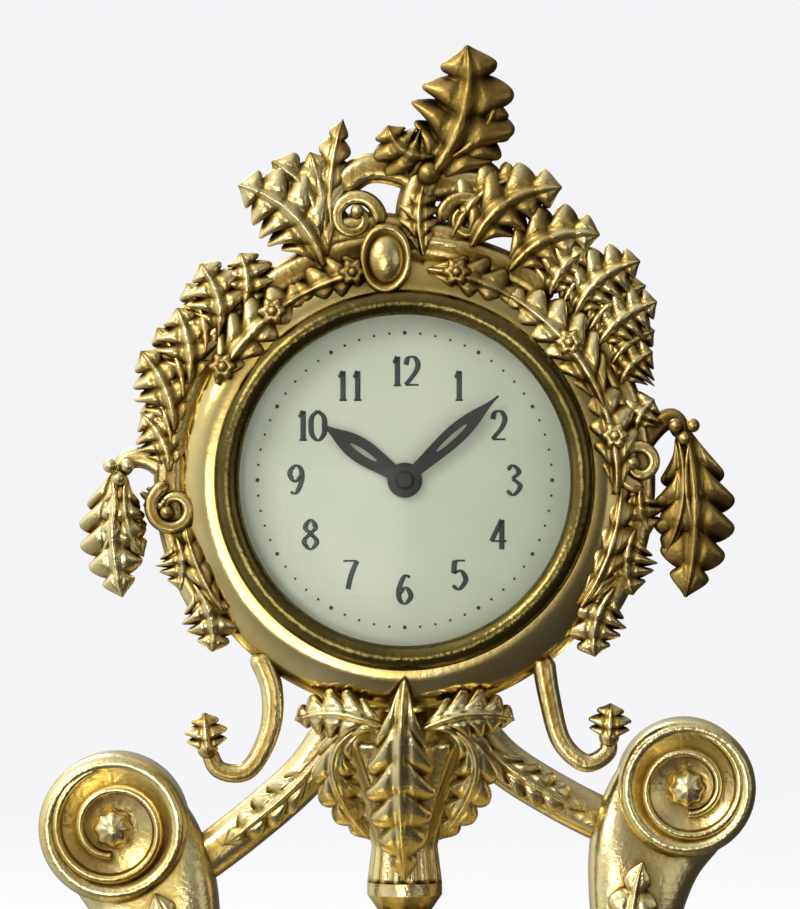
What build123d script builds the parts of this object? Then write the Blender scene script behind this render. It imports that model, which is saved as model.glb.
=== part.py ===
from build123d import *
import math
import os

# Small gilt-bronze table clock: a round case in cast rococo foliage, carried by a leafy pendant,
# a baluster and two volute legs on a moulded base, with a back-wound eight-day movement.
# Millimetres. X runs to the viewer's right, -Y is the dial side, +Z is up.
# The model is drawn about the dial's centre and lifted by DIAL_HEIGHT when it is written,
# so the origin is on the floor, under the middle of the base.

DIAL_HEIGHT = 168.0

# Clearances
FIT = 0.05
RUNNING = 0.03
PRESS = 0.01
SHAKE = 0.2
TIP_ROOM = 0.4

# Case, from the dial outwards
DIAL_OPENING_R = 34.7
DIAL_LIP = 1.7
DIAL_RIM_T = 1.4
DIAL_CROWN = 1.2
DIAL_HOLE_ROOM = 0.4
BEZEL_W = 5.3
BEZEL_BEAD = 3.6
BEZEL_LEAN = 0.3
BEZEL_PROUD = 0.3
BEZEL_SKIRT = 2.2
GLASS_T = 1.6
GLASS_DOME = 3.4
GLASS_DOME_ROOM = 0.3
GLASS_LIP = 2.0
SLIP_T = 3.0
SLIP_INSET = 0.2
DRUM_WALL = 2.0
SHOULDER_W = 5.5
SHOULDER_T = 2.0
RING_W = 7.0
RING_LIP_T = 3.2
RING_EDGE_T = 5.5
RING_COVER = 8.0
RING_SWELL_OUT = 1.0
RING_SWELL_FRONT = 1.4

# Movement frame
PLATE_T = 2.0
FRONT_PLATE_Y = -12.0
FRONT_PLATE_ROOM = 2.4
BACK_PLATE_ROOM = 1.5
MOTION_ROOM = 5.2
PILLAR_R = 2.2
PILLAR_INSET = 4.0
PILLAR_START = 25.0
PILLAR_COUNT = 4
SCREW_R = 0.9
SCREW_HEAD_R = 1.6
SCREW_HEAD_T = 1.2
SCREW_GRIP = 3.6
MOVEMENT_SCREW_COUNT = 4
MOVEMENT_SCREW_START = 45.0
DIAL_FOOT_R = 1.0
DIAL_FOOT_CIRCLE_R = 28.0
DIAL_FOOT_START = 70.0
DIAL_FOOT_COUNT = 3
DIAL_FOOT_PROUD = 0.6

# Wheels: teeth and modules
BARREL_TEETH, BARREL_MODULE = 60, 0.5
INTERMEDIATE_LEAVES = 10
INTERMEDIATE_TEETH, INTERMEDIATE_MODULE = 48, 0.45
CENTRE_LEAVES = 8
CENTRE_TEETH, CENTRE_MODULE = 64, 0.3
THIRD_LEAVES = 8
THIRD_TEETH, THIRD_MODULE = 60, 0.28
FOURTH_LEAVES = 8
FOURTH_TEETH, FOURTH_MODULE = 60, 0.24
ESCAPE_LEAVES = 6
ESCAPE_TEETH = 15
CANNON_TEETH, MINUTE_TEETH, MOTION_MODULE = 12, 36, 0.35
MINUTE_LEAVES, HOUR_TEETH = 10, 40

# Wheels: sizes
WHEEL_T = 0.8
WHEEL_RIM = 1.1
WHEEL_HUB_R = 2.6
WHEEL_SPOKES = 5
SPOKE_ANGLE = 14.0
INTERMEDIATE_ARBOR_R = 1.0
INTERMEDIATE_HUB_R = 3.0
MOTION_SPOKES = 4
MINUTE_HUB_R = 2.4
HOUR_HUB_R = 3.0
LEAF_OVERHANG = 0.3
LAYER_GAP = 0.5
PIVOT_R = 0.5
PIVOT_LENGTH = 1.8

# Tooth shape: addendum and dedendum in modules, then half widths at root, pitch and tip in pitches
WHEEL_TOOTH = (0.95, 1.25, 0.25, 0.18, 0.06)
PINION_TOOTH = (0.75, 1.30, 0.19, 0.16, 0.06)

# Directions of the arbors, in degrees from +X towards +Z
BARREL_DISTANCE = 18.5
BARREL_DIRECTION = 250.0
THIRD_DIRECTION = 60.0
FOURTH_DIRECTION = -40.0
ESCAPE_DIRECTION = -75.0
LEVER_DIRECTION = -100.0
BALANCE_DIRECTION = -110.0
MINUTE_DIRECTION = 90.0

# Barrel and winding
BARREL_WALL = 0.9
BARREL_DEPTH = 7.0
BARREL_TEETH_ROOM = 1.2
BARREL_ARBOR_R = 1.6
BARREL_HUB_R = 3.4
MAINSPRING_T = 0.4
MAINSPRING_TURNS = 6
WINDING_SQUARE = 2.0
RATCHET_R = 5.5
RATCHET_T = 1.2
RATCHET_TEETH = 20
RATCHET_DEPTH = 0.8
RATCHET_RAKE = 0.12
CLICK_ROOM = 0.3
CLICK_HUB_R = 1.3
CLICK_ROOT_R = 1.1
CLICK_TURN = 60.0
CLICK_SWEEP = 34.0
CLICK_HEEL = 110.0
CLICK_TOUCH = 0.6
CLICK_STUD_R = 0.8
CLICK_STUD_REACH = 3.9
CLICK_STUD_TURN = 20.0
KEY_WING_SPAN = 17.0
KEY_WING_T = 2.0
KEY_LENGTH = 9.4
KEY_HUB_R = 2.6
KEY_SOCKET_SHARE = 0.66

# Centre arbor and set knob
CENTRE_ARBOR_R = 0.9
CANNON_WALL = 0.55
HOUR_PIPE_WALL = 0.8
COLLAR_T = 0.5
COLLAR_W = 0.7
KNOB_R = 4.6
KNOB_LENGTH = 6.5
KNOB_NECK_R = 2.4
KNOB_NECK = 2.0
KNOB_STANDOFF = 2.2
KNOB_CAP_T = 1.0
KNURL_COUNT = 36
KNURL_DEPTH = 0.35

# Escapement and balance
ESCAPE_R = 4.2
ESCAPE_T = 0.7
ESCAPE_DEPTH = 1.1
ESCAPE_PIVOT_SHARE = 0.8
LEVER_DISTANCE = 5.6
LEVER_HUB_R = 1.1
LEVER_W = 0.8
LEVER_ELBOW = 3.1
LEVER_SPREAD = 62.0
PALLET_ROOM = 0.75
PALLET_SPREAD = 44.0
FORK_ROOM = 2.6
HORN_LENGTH = 0.9
HORN_W = 0.5
BALANCE_DISTANCE = 7.6
BALANCE_R = 6.8
BALANCE_T = 1.2
BALANCE_RIM_W = 0.9
STAFF_R = 0.7
ROLLER_R = 1.5
HAIRSPRING_R = 4.6
HAIRSPRING_T = 0.22
HAIRSPRING_H = 0.5
HAIRSPRING_TURNS = 5
COCK_REACH = 9.6
COCK_T = 1.4
COCK_W = 4.2
COCK_HEAD_R = 2.6
REGULATOR_R = 2.4
REGULATOR_BORE_ROOM = 0.3
REGULATOR_REACH = 7.4
REGULATOR_W = 1.0
DOOR_ROOM = 1.8

# Escape teeth: directions of front root, tip, heel and back root, in pitches
ESCAPE_TOOTH = (-0.30, 0.0, 0.14, 0.10)

# Hands, read at eight minutes past ten
HOUR_HAND_LENGTH = 21.0
HOUR_HAND_W = 5.2
HOUR_HAND_HUB_R = 3.7
MINUTE_HAND_LENGTH = 26.5
MINUTE_HAND_W = 4.3
MINUTE_HAND_HUB_R = 3.0
HAND_SLOT_W = 1.0
HAND_T = 0.5
HAND_ROOM = 1.0
HAND_NUT_R = 2.0
HAND_NUT_T = 0.9
HAND_NUT_CHAMFER = 0.5
MINUTES_SHOWN = 8.0
HOURS_SHOWN = 10.0

# Edge of a hand: distance from the dial's centre in lengths, then half width in widths
HAND_EDGE = ((0.08, 0.30), (0.30, 0.41), (0.53, 0.50), (0.74, 0.36), (0.88, 0.15), (1.0, 0.05))
HAND_SLOT = (0.34, 0.66)

# Back door
DOOR_T = 1.2
DOOR_DOME = 3.2
DOOR_RIM_W = 5.0
DOOR_GAP = 0.15
DOOR_INSET = 0.3
DOOR_STRAP = 4.0
PULL_R = 1.9
PULL_NECK_R = 1.0
PULL_STANDOFF = 2.6
PULL_INSET = 2.4
HINGE_R = 1.7
HINGE_PIN_R = 0.8
HINGE_KNUCKLE = 4.0

# Base and feet
PLINTH_W = 160.0
PLINTH_D = 92.0
PLINTH_BOW = 6.0
PLINTH_CORNER = 22.0
PLINTH_WALL = 4.0
CORNER_SWELL = 0.17
DECK_STEP = 13.5
RIM_H = 5.0
COVE_H = 9.0
COVE_LOW = 0.35
COVE_DIP = 3.0
DECK_H = 4.0
MOULD_STEP = 2.0
BOARD_T = 3.0
BOARD_LEDGE = 3.5
FOOT_H = 14.0
FOOT_T = 14.0
FOOT_R = 7.6
FOOT_TOE = 2.0
FOOT_FLAT = 0.9
FOOT_INSET_X = 19.0
FOOT_INSET_Y = 17.0
FOOT_STUD_DROP = 6.0

# Neck of a foot: distance along the foot, then share of its height
FOOT_NECK = ((-9.0, 1.0), (-5.5, 0.6), (-3.0, 0.3), (7.0, 0.6), (8.0, 1.0))

# Legs, baluster, pendant and arms
LEG_T = 20.0
LEG_INSET = 20.5
LEG_FOOT_W = 20.0
LEG_PAD = 2.0
LEG_WAIST_RISE = 18.0
LEG_WAIST_IN = 5.0
LEG_WAIST_OUT = 3.5
LEG_SCREW_R = 1.5
LEG_SCREW_HEAD_R = 2.8
LEG_SCREW_HEAD_T = 2.0
LEG_SCREW_GRIP = 9.0
VOLUTE_EYE_R = 4.4
VOLUTE_EYE_RISE = 1.6
VOLUTE_GROOVE = 1.5
VOLUTE_TURNS = 1.25
VOLUTE_START = -60.0
BALUSTER_R = 13.0
BALUSTER_STEP = 2.0
BALUSTER_BEVEL = 0.6
BALUSTER_COLLAR_T = 2.6
BALUSTER_WAIST_R = 5.6
BALUSTER_BELLY_R = 11.2
BALUSTER_NECK_R = 5.0
BALUSTER_WAIST_AT, BALUSTER_BELLY_AT, BALUSTER_NECK_AT = 0.24, 0.60, 0.86
TIE_ROD_R = 2.4
TIE_ROD_GRIP = 12.0
TIE_ROD_TAIL = 1.0
TIE_NUT_R = 4.6
TIE_NUT_T = 4.0
PENDANT_DROP = 37.0
PENDANT_TIP_R = 8.0
PENDANT_SCREW_X = 8.0
ARM_W = 9.6
ARM_ROOT_X = 14.0
ARM_ROOT_AT = 0.1

# Volutes: place of the eye from the dial's centre, then the radius
LEFT_VOLUTE = (-62.0, -74.0, 15.8)
RIGHT_VOLUTE = (60.0, -65.5, 14.6)

# Edges of a leg beside its volute, in volute radii from the eye
LEG_INNER_EDGE = ((-1.42, -1.10), (-1.16, -0.05), (-0.62, 0.78))
LEG_OUTER_EDGE = ((0.04, -1.60), (0.55, -0.83))

# Arms: share of the way from root to end, then how far the arm hangs in and down from a straight line
ARM_SAG = ((0.30, 2.0, 1.5), (0.65, 1.0, 1.5))

# Apron leaves: root, middle and tip, each as distance across, share of the pendant's drop below the ring
# and distance before the ring's edge, then the width
PENDANT_MIDDLE_LEAF = (((0.0, -0.20, 8.0), (-1.0, 0.30, 4.0), (0.0, 0.95, -9.5)), 15.0)
PENDANT_SIDE_LEAVES = (
    (((4.0, 0.08, 5.0), (14.0, 0.0, 4.0), (23.0, 0.04, 0.0)), 11.0),
    (((7.0, 0.05, 3.0), (15.0, 0.30, -0.5), (7.5, 0.74, -10.5)), 10.0),
)
PENDANT_LEAF_FRONT, PENDANT_LEAF_BACK = 3.4, 2.2

# Foliage: widths along a leaf as shares, then how it thins and how round it may get
LEAF_SHAPE = (0.55, 0.9, 1.0, 0.82, 0.5, 0.14)
LEAF_THINNING = 0.7
LEAF_ROUNDNESS = 0.46
LEAF_FRONT, LEAF_BACK = 3.6, 2.0
BOLD_FRONT, BOLD_BACK = 4.2, 3.4
STEM_W = 7.0
STEM_DEPTH = 3.0
STEM_OVERHANG = 0.5
RIM_STEM_FRONT, RIM_STEM_BACK = 3.6, 2.6
RIM_LEAF_RISE = 0.7
OVERLAY_INSET = 4.5
OVERLAY_RISE = 2.5
OVERLAY_FRONT, OVERLAY_BACK = 3.4, 2.4
RELIEF_SETBACK = 4.7
BOSS_R = 2.2
BOSS_RISE = 2.4
ORNAMENT_SCREW_R = 0.8
ORNAMENT_SCREW_INSET = 0.5
FINIAL_SEAT = 16.0

# Directions of the screws that hold each casting, of its rim stem's ends and of its overlay leaves' ends
LEFT_SCREWS = (148.0, 128.0)
CREST_SCREWS = (104.0, 76.0)
RIGHT_SCREWS = (40.0, 12.0)
LEFT_STEM = (216.0, 130.0)
CREST_STEM = (129.0, 51.0)
RIGHT_STEM = (-36.0, 50.0)
LEFT_OVERLAYS = ((152.0, 117.0, 12.0),)
RIGHT_OVERLAYS = ((-2.0, 30.0, 10.0), (22.0, 62.0, 12.0))

# Rim leaves: directions of root and tip, reach beyond the ring, bow, width and rise
LEFT_LEAVES = (
    (206.0, 221.6, 5.2, 0.12, 11.0, 0.0),
    (194.0, 206.0, 3.6, 0.10, 10.0, 0.0),
    (178.0, 166.0, 8.0, -0.12, 10.0, 0.0),
    (168.0, 154.0, 12.7, -0.10, 12.0, 0.0),
    (156.0, 143.0, 11.0, -0.08, 13.0, 0.0),
    (142.0, 133.4, 13.6, -0.12, 12.0, 2.0),
    (133.0, 126.0, 10.0, -0.10, 11.0, 1.0),
)
RIGHT_LEAVES = (
    (52.0, 52.0, 12.5, 0.10, 12.0, 1.0),
    (44.0, 42.9, 18.6, 0.14, 12.0, 1.5),
    (35.0, 35.3, 15.9, 0.10, 12.0, 0.0),
    (24.0, 27.4, 9.6, 0.12, 11.0, 0.0),
    (-12.0, -26.6, 4.7, -0.12, 11.0, 0.0),
    (-27.0, -42.8, 5.5, -0.12, 11.0, 0.0),
)

# Crest and finial leaves: root and tip, each as distance across, rise and distance forward,
# then bow, width, front and back
CREST_LEAVES = (
    ((-17.0, -4.0, 1.0), (-35.0, 13.0, 2.0), -0.14, 15.0, BOLD_FRONT, LEAF_BACK),
    ((-19.0, -2.0, 0.0), (-28.0, 18.0, 1.0), -0.20, 13.0, LEAF_FRONT, LEAF_BACK),
    ((-17.0, -1.0, 0.0), (-20.0, 20.0, 0.5), -0.06, 11.0, LEAF_FRONT, LEAF_BACK),
    ((-15.0, 1.0, 0.0), (-13.0, 27.0, 0.0), 0.06, 8.0, LEAF_FRONT, LEAF_BACK),
    ((10.0, 2.0, 0.0), (25.0, 15.0, 0.5), 0.14, 12.0, LEAF_FRONT, LEAF_BACK),
    ((14.0, 0.0, 1.0), (33.0, 12.5, 1.0), 0.16, 13.0, BOLD_FRONT, LEAF_BACK),
    ((22.0, -5.0, 1.0), (41.0, 2.5, 1.5), 0.16, 12.0, LEAF_FRONT, LEAF_BACK),
    ((-4.0, -9.5, 3.5), (-4.0, 5.0, 2.5), 0.0, 12.0, BOLD_FRONT, LEAF_BACK),
)
FINIAL_LEAVES = (
    ((4.6, -2.0, 0.0), (13.0, 26.4, 1.5), -0.12, 19.0, BOLD_FRONT, BOLD_BACK),
    ((6.0, 3.0, 0.5), (-3.6, 9.6, 3.0), 0.22, 11.0, BOLD_FRONT, LEAF_BACK),
    ((7.5, 2.0, 0.2), (19.4, 15.0, 1.0), -0.14, 11.0, BOLD_FRONT, LEAF_BACK),
)

# Crest stems: points as distance across and rise, then the width at each end
CREST_STEMS = (
    (((-14.5, 12.0), (-8.0, 16.5), (0.0, 15.5), (5.0, 11.0)), 6.4, 6.4),
    (((-24.0, 0.5), (-9.0, 4.0), (5.0, 2.5), (14.0, 1.0)), 7.0, 7.0),
    (((4.0, -2.0), (2.0, 7.0), (5.0, FINIAL_SEAT + 1.0)), 8.0, 8.0),
    (((4.0, 12.5), (14.0, 13.6), (24.0, 9.0)), 7.0, 6.0),
)

# Hanging leaves: hook, root and tip as distance beyond the ring and height, then the width
LEFT_DROP = (((-3.0, -2.0), (4.0, 4.0), (9.0, 4.4), (11.0, 1.0)), (11.0, 3.0), (10.4, -24.6), 12.5)
RIGHT_DROP = (((-3.0, 0.0), (2.0, 9.0), (7.0, 13.0), (10.0, 9.0)), (9.6, 11.5), (10.0, -24.6), 15.0)
DROP_STEM_W, DROP_STEM_END_W = 5.0, 4.2
DROP_BOW = 0.06
LOBE_BOW = 0.1
LOBE_SHARE = 0.5
LOBE_ROOT = (1.5, -2.0, 1.5)
LOBE_TIP = (4.5, 8.5, 1.0)

# Tendrils and their buds: distance from the middle, then drop below the ring
LEFT_TENDRIL = ((31.0, -13.0), (28.0, -5.0), (28.5, 4.0), (33.0, 12.0), (39.0, 12.0), (41.5, 7.5))
LEFT_BUD = (42.2, 0.0)
RIGHT_TENDRIL = ((29.0, -12.0), (30.5, -3.0), (33.0, 6.0), (38.0, 10.5), (42.5, 8.5), (43.0, 5.0))
RIGHT_BUD = (43.4, -2.0)
TENDRIL_W, TENDRIL_END_W = 5.0, 3.4
BUD_W = 8.6
BUD_FRONT, BUD_BACK = 3.4, 3.0

# Steps in a spiral's turn, and the point of a shallow arc's radius that it is drawn through
SPIRAL_STEPS = 12
ARC_SHARE = 0.6

# Radii worked out from the sizes above
DIAL_R = DIAL_OPENING_R + DIAL_LIP
GLASS_SEAT_R = DIAL_OPENING_R + GLASS_LIP
DRUM_BORE_R = DIAL_OPENING_R + BEZEL_W
BEZEL_R = DRUM_BORE_R - 2 * FIT
DRUM_R = DRUM_BORE_R + DRUM_WALL
SHOULDER_R = DRUM_BORE_R - SHOULDER_W
RING_R = DRUM_R + RING_W
FRONT_PLATE_R = DRUM_BORE_R - FRONT_PLATE_ROOM
BACK_PLATE_R = SHOULDER_R - BACK_PLATE_ROOM
PILLAR_CIRCLE_R = BACK_PLATE_R - PILLAR_INSET
MOVEMENT_SCREW_CIRCLE_R = (SHOULDER_R + FRONT_PLATE_R) / 2
CANNON_R = CENTRE_ARBOR_R + CANNON_WALL
HOUR_PIPE_R = CANNON_R + RUNNING + HOUR_PIPE_WALL
DIAL_HOLE_R = HOUR_PIPE_R + DIAL_HOLE_ROOM
DOOR_R = DRUM_R - DOOR_INSET
STEM_CIRCLE_R = RING_R + STEM_OVERHANG
OVERLAY_CIRCLE_R = RING_R - OVERLAY_INSET
ORNAMENT_SCREW_CIRCLE_R = (DRUM_R + RING_R) / 2 - ORNAMENT_SCREW_INSET
CENTRE = (0.0, 0.0)

# Depths, from the front plate forwards to the bezel
FRONT_PLATE_BACK = FRONT_PLATE_Y + PLATE_T
CANNON_BACK = FRONT_PLATE_Y - SHAKE
MINUTE_LAYER_Y = CANNON_BACK - WHEEL_T - 3 * SHAKE
HOUR_LAYER_Y = MINUTE_LAYER_Y - LAYER_GAP - 1.5 * WHEEL_T
DIAL_BACK_Y = FRONT_PLATE_Y - MOTION_ROOM
DIAL_RIM_Y = DIAL_BACK_Y - DIAL_RIM_T
DIAL_FACE_Y = DIAL_RIM_Y - DIAL_CROWN
HOUR_HAND_Y = DIAL_FACE_Y - HAND_ROOM
MINUTE_HAND_Y = HOUR_HAND_Y - HAND_ROOM - SHAKE
GLASS_BACK_Y = DIAL_RIM_Y - SLIP_T
GLASS_FRONT_Y = GLASS_BACK_Y - GLASS_T
BEZEL_FRONT_Y = GLASS_FRONT_Y - BEZEL_BEAD
RING_FRONT_Y = GLASS_FRONT_Y
DRUM_FRONT_Y = RING_FRONT_Y + RING_LIP_T
BEZEL_BACK_Y = DRUM_FRONT_Y + BEZEL_SKIRT
RING_BACK_Y = DRUM_FRONT_Y + RING_COVER
RING_EDGE_Y = RING_BACK_Y - RING_EDGE_T
RELIEF_Y = RING_FRONT_Y + RELIEF_SETBACK

# Depths, from the front plate back through the train to the door
BARREL_COVER_Y = FRONT_PLATE_BACK + 2 * LAYER_GAP
BARREL_FRONT = BARREL_COVER_Y + WHEEL_T
GREAT_WHEEL_Y = BARREL_FRONT + BARREL_DEPTH
GREAT_WHEEL_BACK = GREAT_WHEEL_Y + 1.5 * WHEEL_T
CENTRE_WHEEL_Y = GREAT_WHEEL_BACK + 2 * LAYER_GAP
CENTRE_SLEEVE_Y = CENTRE_WHEEL_Y - LEAF_OVERHANG
INTERMEDIATE_WHEEL_Y = CENTRE_WHEEL_Y + WHEEL_T + LAYER_GAP
CENTRE_SLEEVE_BACK = INTERMEDIATE_WHEEL_Y + WHEEL_T + SHAKE
FOURTH_WHEEL_Y = FRONT_PLATE_BACK + 5 * LAYER_GAP
THIRD_WHEEL_Y = FOURTH_WHEEL_Y + WHEEL_T + 4 * LAYER_GAP
BACK_PLATE_Y = CENTRE_SLEEVE_BACK + SHAKE + COLLAR_T + 2 * LAYER_GAP
BACK_PLATE_BACK = BACK_PLATE_Y + PLATE_T
RATCHET_Y = BACK_PLATE_BACK + 2 * SHAKE
RATCHET_BACK = RATCHET_Y + RATCHET_T
LEVER_LAYER_Y = BACK_PLATE_BACK + 2 * LAYER_GAP
BALANCE_LAYER_Y = LEVER_LAYER_Y + WHEEL_T + 2 * LAYER_GAP
HAIRSPRING_Y = BALANCE_LAYER_Y + BALANCE_T + LAYER_GAP
COCK_Y = HAIRSPRING_Y + HAIRSPRING_H + 1.5 * LAYER_GAP
COCK_BACK = COCK_Y + COCK_T
KEY_Y = RATCHET_BACK + SHAKE
KEY_BACK = KEY_Y + KEY_LENGTH
SQUARE_END_Y = KEY_Y + KEY_SOCKET_SHARE * KEY_LENGTH
KNOB_Y = BACK_PLATE_BACK + KNOB_STANDOFF
KNOB_BACK = KNOB_Y + KNOB_LENGTH
DRUM_BACK_Y = KEY_BACK + DOOR_ROOM
DOOR_Y = DRUM_BACK_Y + DOOR_GAP
HINGE_X = DRUM_R + HINGE_R + 4 * DOOR_GAP
HINGE_Y = DRUM_BACK_Y + HINGE_R

# Heights, from the floor to the pendant
FLOOR_Z = -DIAL_HEIGHT
RIM_Z = FLOOR_Z + FOOT_H
COVE_Z = RIM_Z + RIM_H
DECK_Z = COVE_Z + COVE_H
DECK_TOP = DECK_Z + DECK_H
DECK_W = PLINTH_W - 2 * DECK_STEP
DECK_D = PLINTH_D - 2 * DECK_STEP
LEG_FOOT_U = DECK_W / 2 - LEG_INSET
POCKET_W = DECK_W - 2 * PLINTH_WALL
POCKET_D = DECK_D - 2 * PLINTH_WALL
POCKET_CORNER = PLINTH_CORNER - PLINTH_WALL
PENDANT_TIP_Z = -RING_R - PENDANT_DROP

# Apron's core: share of the pendant's drop below the ring, depth, and half axes across and in depth
PENDANT_LEVELS = (
    (-0.4, 0.0, 18.0, 11.5),
    (0.0, 0.0, 19.0, 11.5),
    (0.19, -4.5, 16.5, 15.5),
    (0.49, -2.0, 10.5, 11.0),
    (0.78, 0.0, PENDANT_TIP_R - 1.0, PENDANT_TIP_R - 1.0),
    (1.0, 0.0, PENDANT_TIP_R, PENDANT_TIP_R),
)


# Places


def polar(radius, degrees, about=CENTRE):
    """Point at a radius and an angle from another point, in the dial's plane."""
    a = math.radians(degrees)
    return (about[0] + radius * math.cos(a), about[1] + radius * math.sin(a))


def direction(start, end):
    """Angle of the line between two points, in degrees."""
    return math.degrees(math.atan2(end[1] - start[1], end[0] - start[0]))


def mesh_distance(teeth, leaves, module):
    return (teeth + leaves) * module / 2


def meeting_point(about, radius, other, other_radius):
    """Point at given distances from two points, on the clockwise side of the line between them."""
    gap = math.dist(about, other)
    turn = math.degrees(math.acos((radius**2 + gap**2 - other_radius**2) / (2 * radius * gap)))
    return polar(radius, direction(about, other) - turn, about)


# Places of the arbors, in the dial's plane
BARREL = polar(BARREL_DISTANCE, BARREL_DIRECTION)
INTERMEDIATE = meeting_point(
    CENTRE,
    mesh_distance(INTERMEDIATE_TEETH, CENTRE_LEAVES, INTERMEDIATE_MODULE),
    BARREL,
    mesh_distance(BARREL_TEETH, INTERMEDIATE_LEAVES, BARREL_MODULE),
)
THIRD = polar(mesh_distance(CENTRE_TEETH, THIRD_LEAVES, CENTRE_MODULE), THIRD_DIRECTION)
FOURTH = polar(mesh_distance(THIRD_TEETH, FOURTH_LEAVES, THIRD_MODULE), FOURTH_DIRECTION, THIRD)
ESCAPE = polar(mesh_distance(FOURTH_TEETH, ESCAPE_LEAVES, FOURTH_MODULE), ESCAPE_DIRECTION, FOURTH)
LEVER = polar(LEVER_DISTANCE, LEVER_DIRECTION, ESCAPE)
BALANCE = polar(BALANCE_DISTANCE, BALANCE_DIRECTION, LEVER)
MINUTE = polar(mesh_distance(MINUTE_TEETH, CANNON_TEETH, MOTION_MODULE), MINUTE_DIRECTION)
HOUR_MODULE = 2 * math.dist(CENTRE, MINUTE) / (HOUR_TEETH + MINUTE_LEAVES)
COCK_FOOT = (BALANCE[0] + COCK_REACH, BALANCE[1])

BARREL_R = BARREL_TEETH * BARREL_MODULE / 2 - BARREL_TEETH_ROOM
ESCAPE_ARBOR_R = (ESCAPE_LEAVES / 2 - PINION_TOOTH[1]) * FOURTH_MODULE - RUNNING
ESCAPE_PIVOT_R = ESCAPE_PIVOT_SHARE * ESCAPE_ARBOR_R
CLICK = polar(RATCHET_R + CLICK_HUB_R + 3 * CLICK_ROOM, BARREL_DIRECTION - CLICK_TURN, BARREL)


# Shapes


def prism(sketch, y_front, y_back):
    """Solid between two depths, from a sketch in the dial's plane."""
    return extrude(Plane.XZ.offset(-y_front) * sketch, amount=y_back - y_front, dir=(0, 1, 0))


def rod(place, radius, y_front, y_back):
    """Round bar along Y at a point of the dial's plane."""
    plane = Plane(origin=(place[0], y_front, place[1]), z_dir=(0, 1, 0))
    return Solid.make_cylinder(radius, y_back - y_front, plane)


def sleeve(place, r_out, r_in, y_front, y_back):
    """Bored round bar along Y."""
    return rod(place, r_out, y_front, y_back) - rod(place, r_in, y_front, y_back)


def post(x, y, radius, z_low, z_high):
    """Round bar along Z."""
    return Solid.make_cylinder(radius, z_high - z_low, Plane(origin=(x, y, z_low)))


def cap(radius, y_rim, rise):
    """Shallow spherical arc from a rim to the dial's axis."""
    ball_r = (radius**2 + rise**2) / (2 * abs(rise))
    mid_r = ARC_SHARE * radius
    sag = ball_r - math.sqrt(ball_r**2 - mid_r**2)
    apex = y_rim + rise
    return ThreePointArc((radius, y_rim), (mid_r, apex - math.copysign(sag, rise)), (0, apex))


def turned(edges):
    """Solid of revolution about the dial's axis, from a closed outline of radius and depth."""
    return revolve(make_face(edges), axis=Axis.Y)


def outline(*points):
    """Closed straight-sided outline."""
    return Polyline(*points, close=True)


def joined(parts):
    """One solid from overlapping ones."""
    whole = parts[0]
    for part in parts[1:]:
        whole = whole + part
    return whole


def around(count, start=0.0):
    """Even directions round a circle, in degrees."""
    return [start + 360.0 * k / count for k in range(count)]


def gear_sketch(place, teeth, module, shape, tooth_at):
    """Toothed outline with the middle of one tooth in a given direction."""
    addendum, dedendum, at_root, at_pitch, at_tip = shape
    radius, pitch = teeth * module / 2, 360.0 / teeth
    root, tip = radius - dedendum * module, radius + addendum * module
    half = [(root, -at_root), (radius, -at_pitch), (tip, -at_tip)]
    half += [(r, -share) for r, share in reversed(half)]
    turns = [tooth_at + k * pitch for k in range(teeth)]
    points = [polar(r, turn + share * pitch, place) for turn in turns for r, share in half]
    return Polygon(*points, align=None)


def window(place, r_in, r_out, start, end):
    """Opening between two spokes."""
    mid = (start + end) / 2
    corner = [polar(r, a, place) for r, a in ((r_in, start), (r_out, start), (r_out, end), (r_in, end))]
    return make_face(
        [
            Line(corner[0], corner[1]),
            ThreePointArc(corner[1], polar(r_out, mid, place), corner[2]),
            Line(corner[2], corner[3]),
            ThreePointArc(corner[3], polar(r_in, mid, place), corner[0]),
        ]
    )


def wheel(place, teeth, module, tooth_at, y_front, spokes=WHEEL_SPOKES, hub_r=WHEEL_HUB_R):
    """Spoked train wheel, without its arbor."""
    sketch = gear_sketch(place, teeth, module, WHEEL_TOOTH, tooth_at)
    rim_r = (teeth / 2 - WHEEL_TOOTH[1]) * module - WHEEL_RIM
    step = 360.0 / spokes
    for a in around(spokes):
        sketch -= window(place, hub_r, rim_r, a + SPOKE_ANGLE / 2, a + step - SPOKE_ANGLE / 2)
    return prism(sketch, y_front, y_front + WHEEL_T)


def pinion(place, leaves, module, tooth_at, y_front, y_back):
    return prism(gear_sketch(place, leaves, module, PINION_TOOTH, tooth_at), y_front, y_back)


def pinion_over(wheel_y, place, leaves, module, tooth_at):
    """Pinion that overhangs the wheel it meshes with on both sides."""
    back = wheel_y + WHEEL_T + LEAF_OVERHANG
    return pinion(place, leaves, module, tooth_at, wheel_y - LEAF_OVERHANG, back)


def facing_gap(leaves, line):
    """Tooth direction that turns a gap towards the wheel whose line of centres is given."""
    return line + 180.0 + 180.0 / leaves


def root_radius(leaves, module):
    return (leaves / 2 - PINION_TOOTH[1]) * module


def pivoted(place, arbor_r):
    """Arbor between the plates with a pivot in each."""
    front, back = FRONT_PLATE_BACK + SHAKE, BACK_PLATE_Y - SHAKE
    return [
        rod(place, arbor_r, front, back),
        rod(place, PIVOT_R, FRONT_PLATE_BACK - PIVOT_LENGTH, front + SHAKE),
        rod(place, PIVOT_R, back - SHAKE, BACK_PLATE_Y + PIVOT_LENGTH),
    ]


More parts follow.
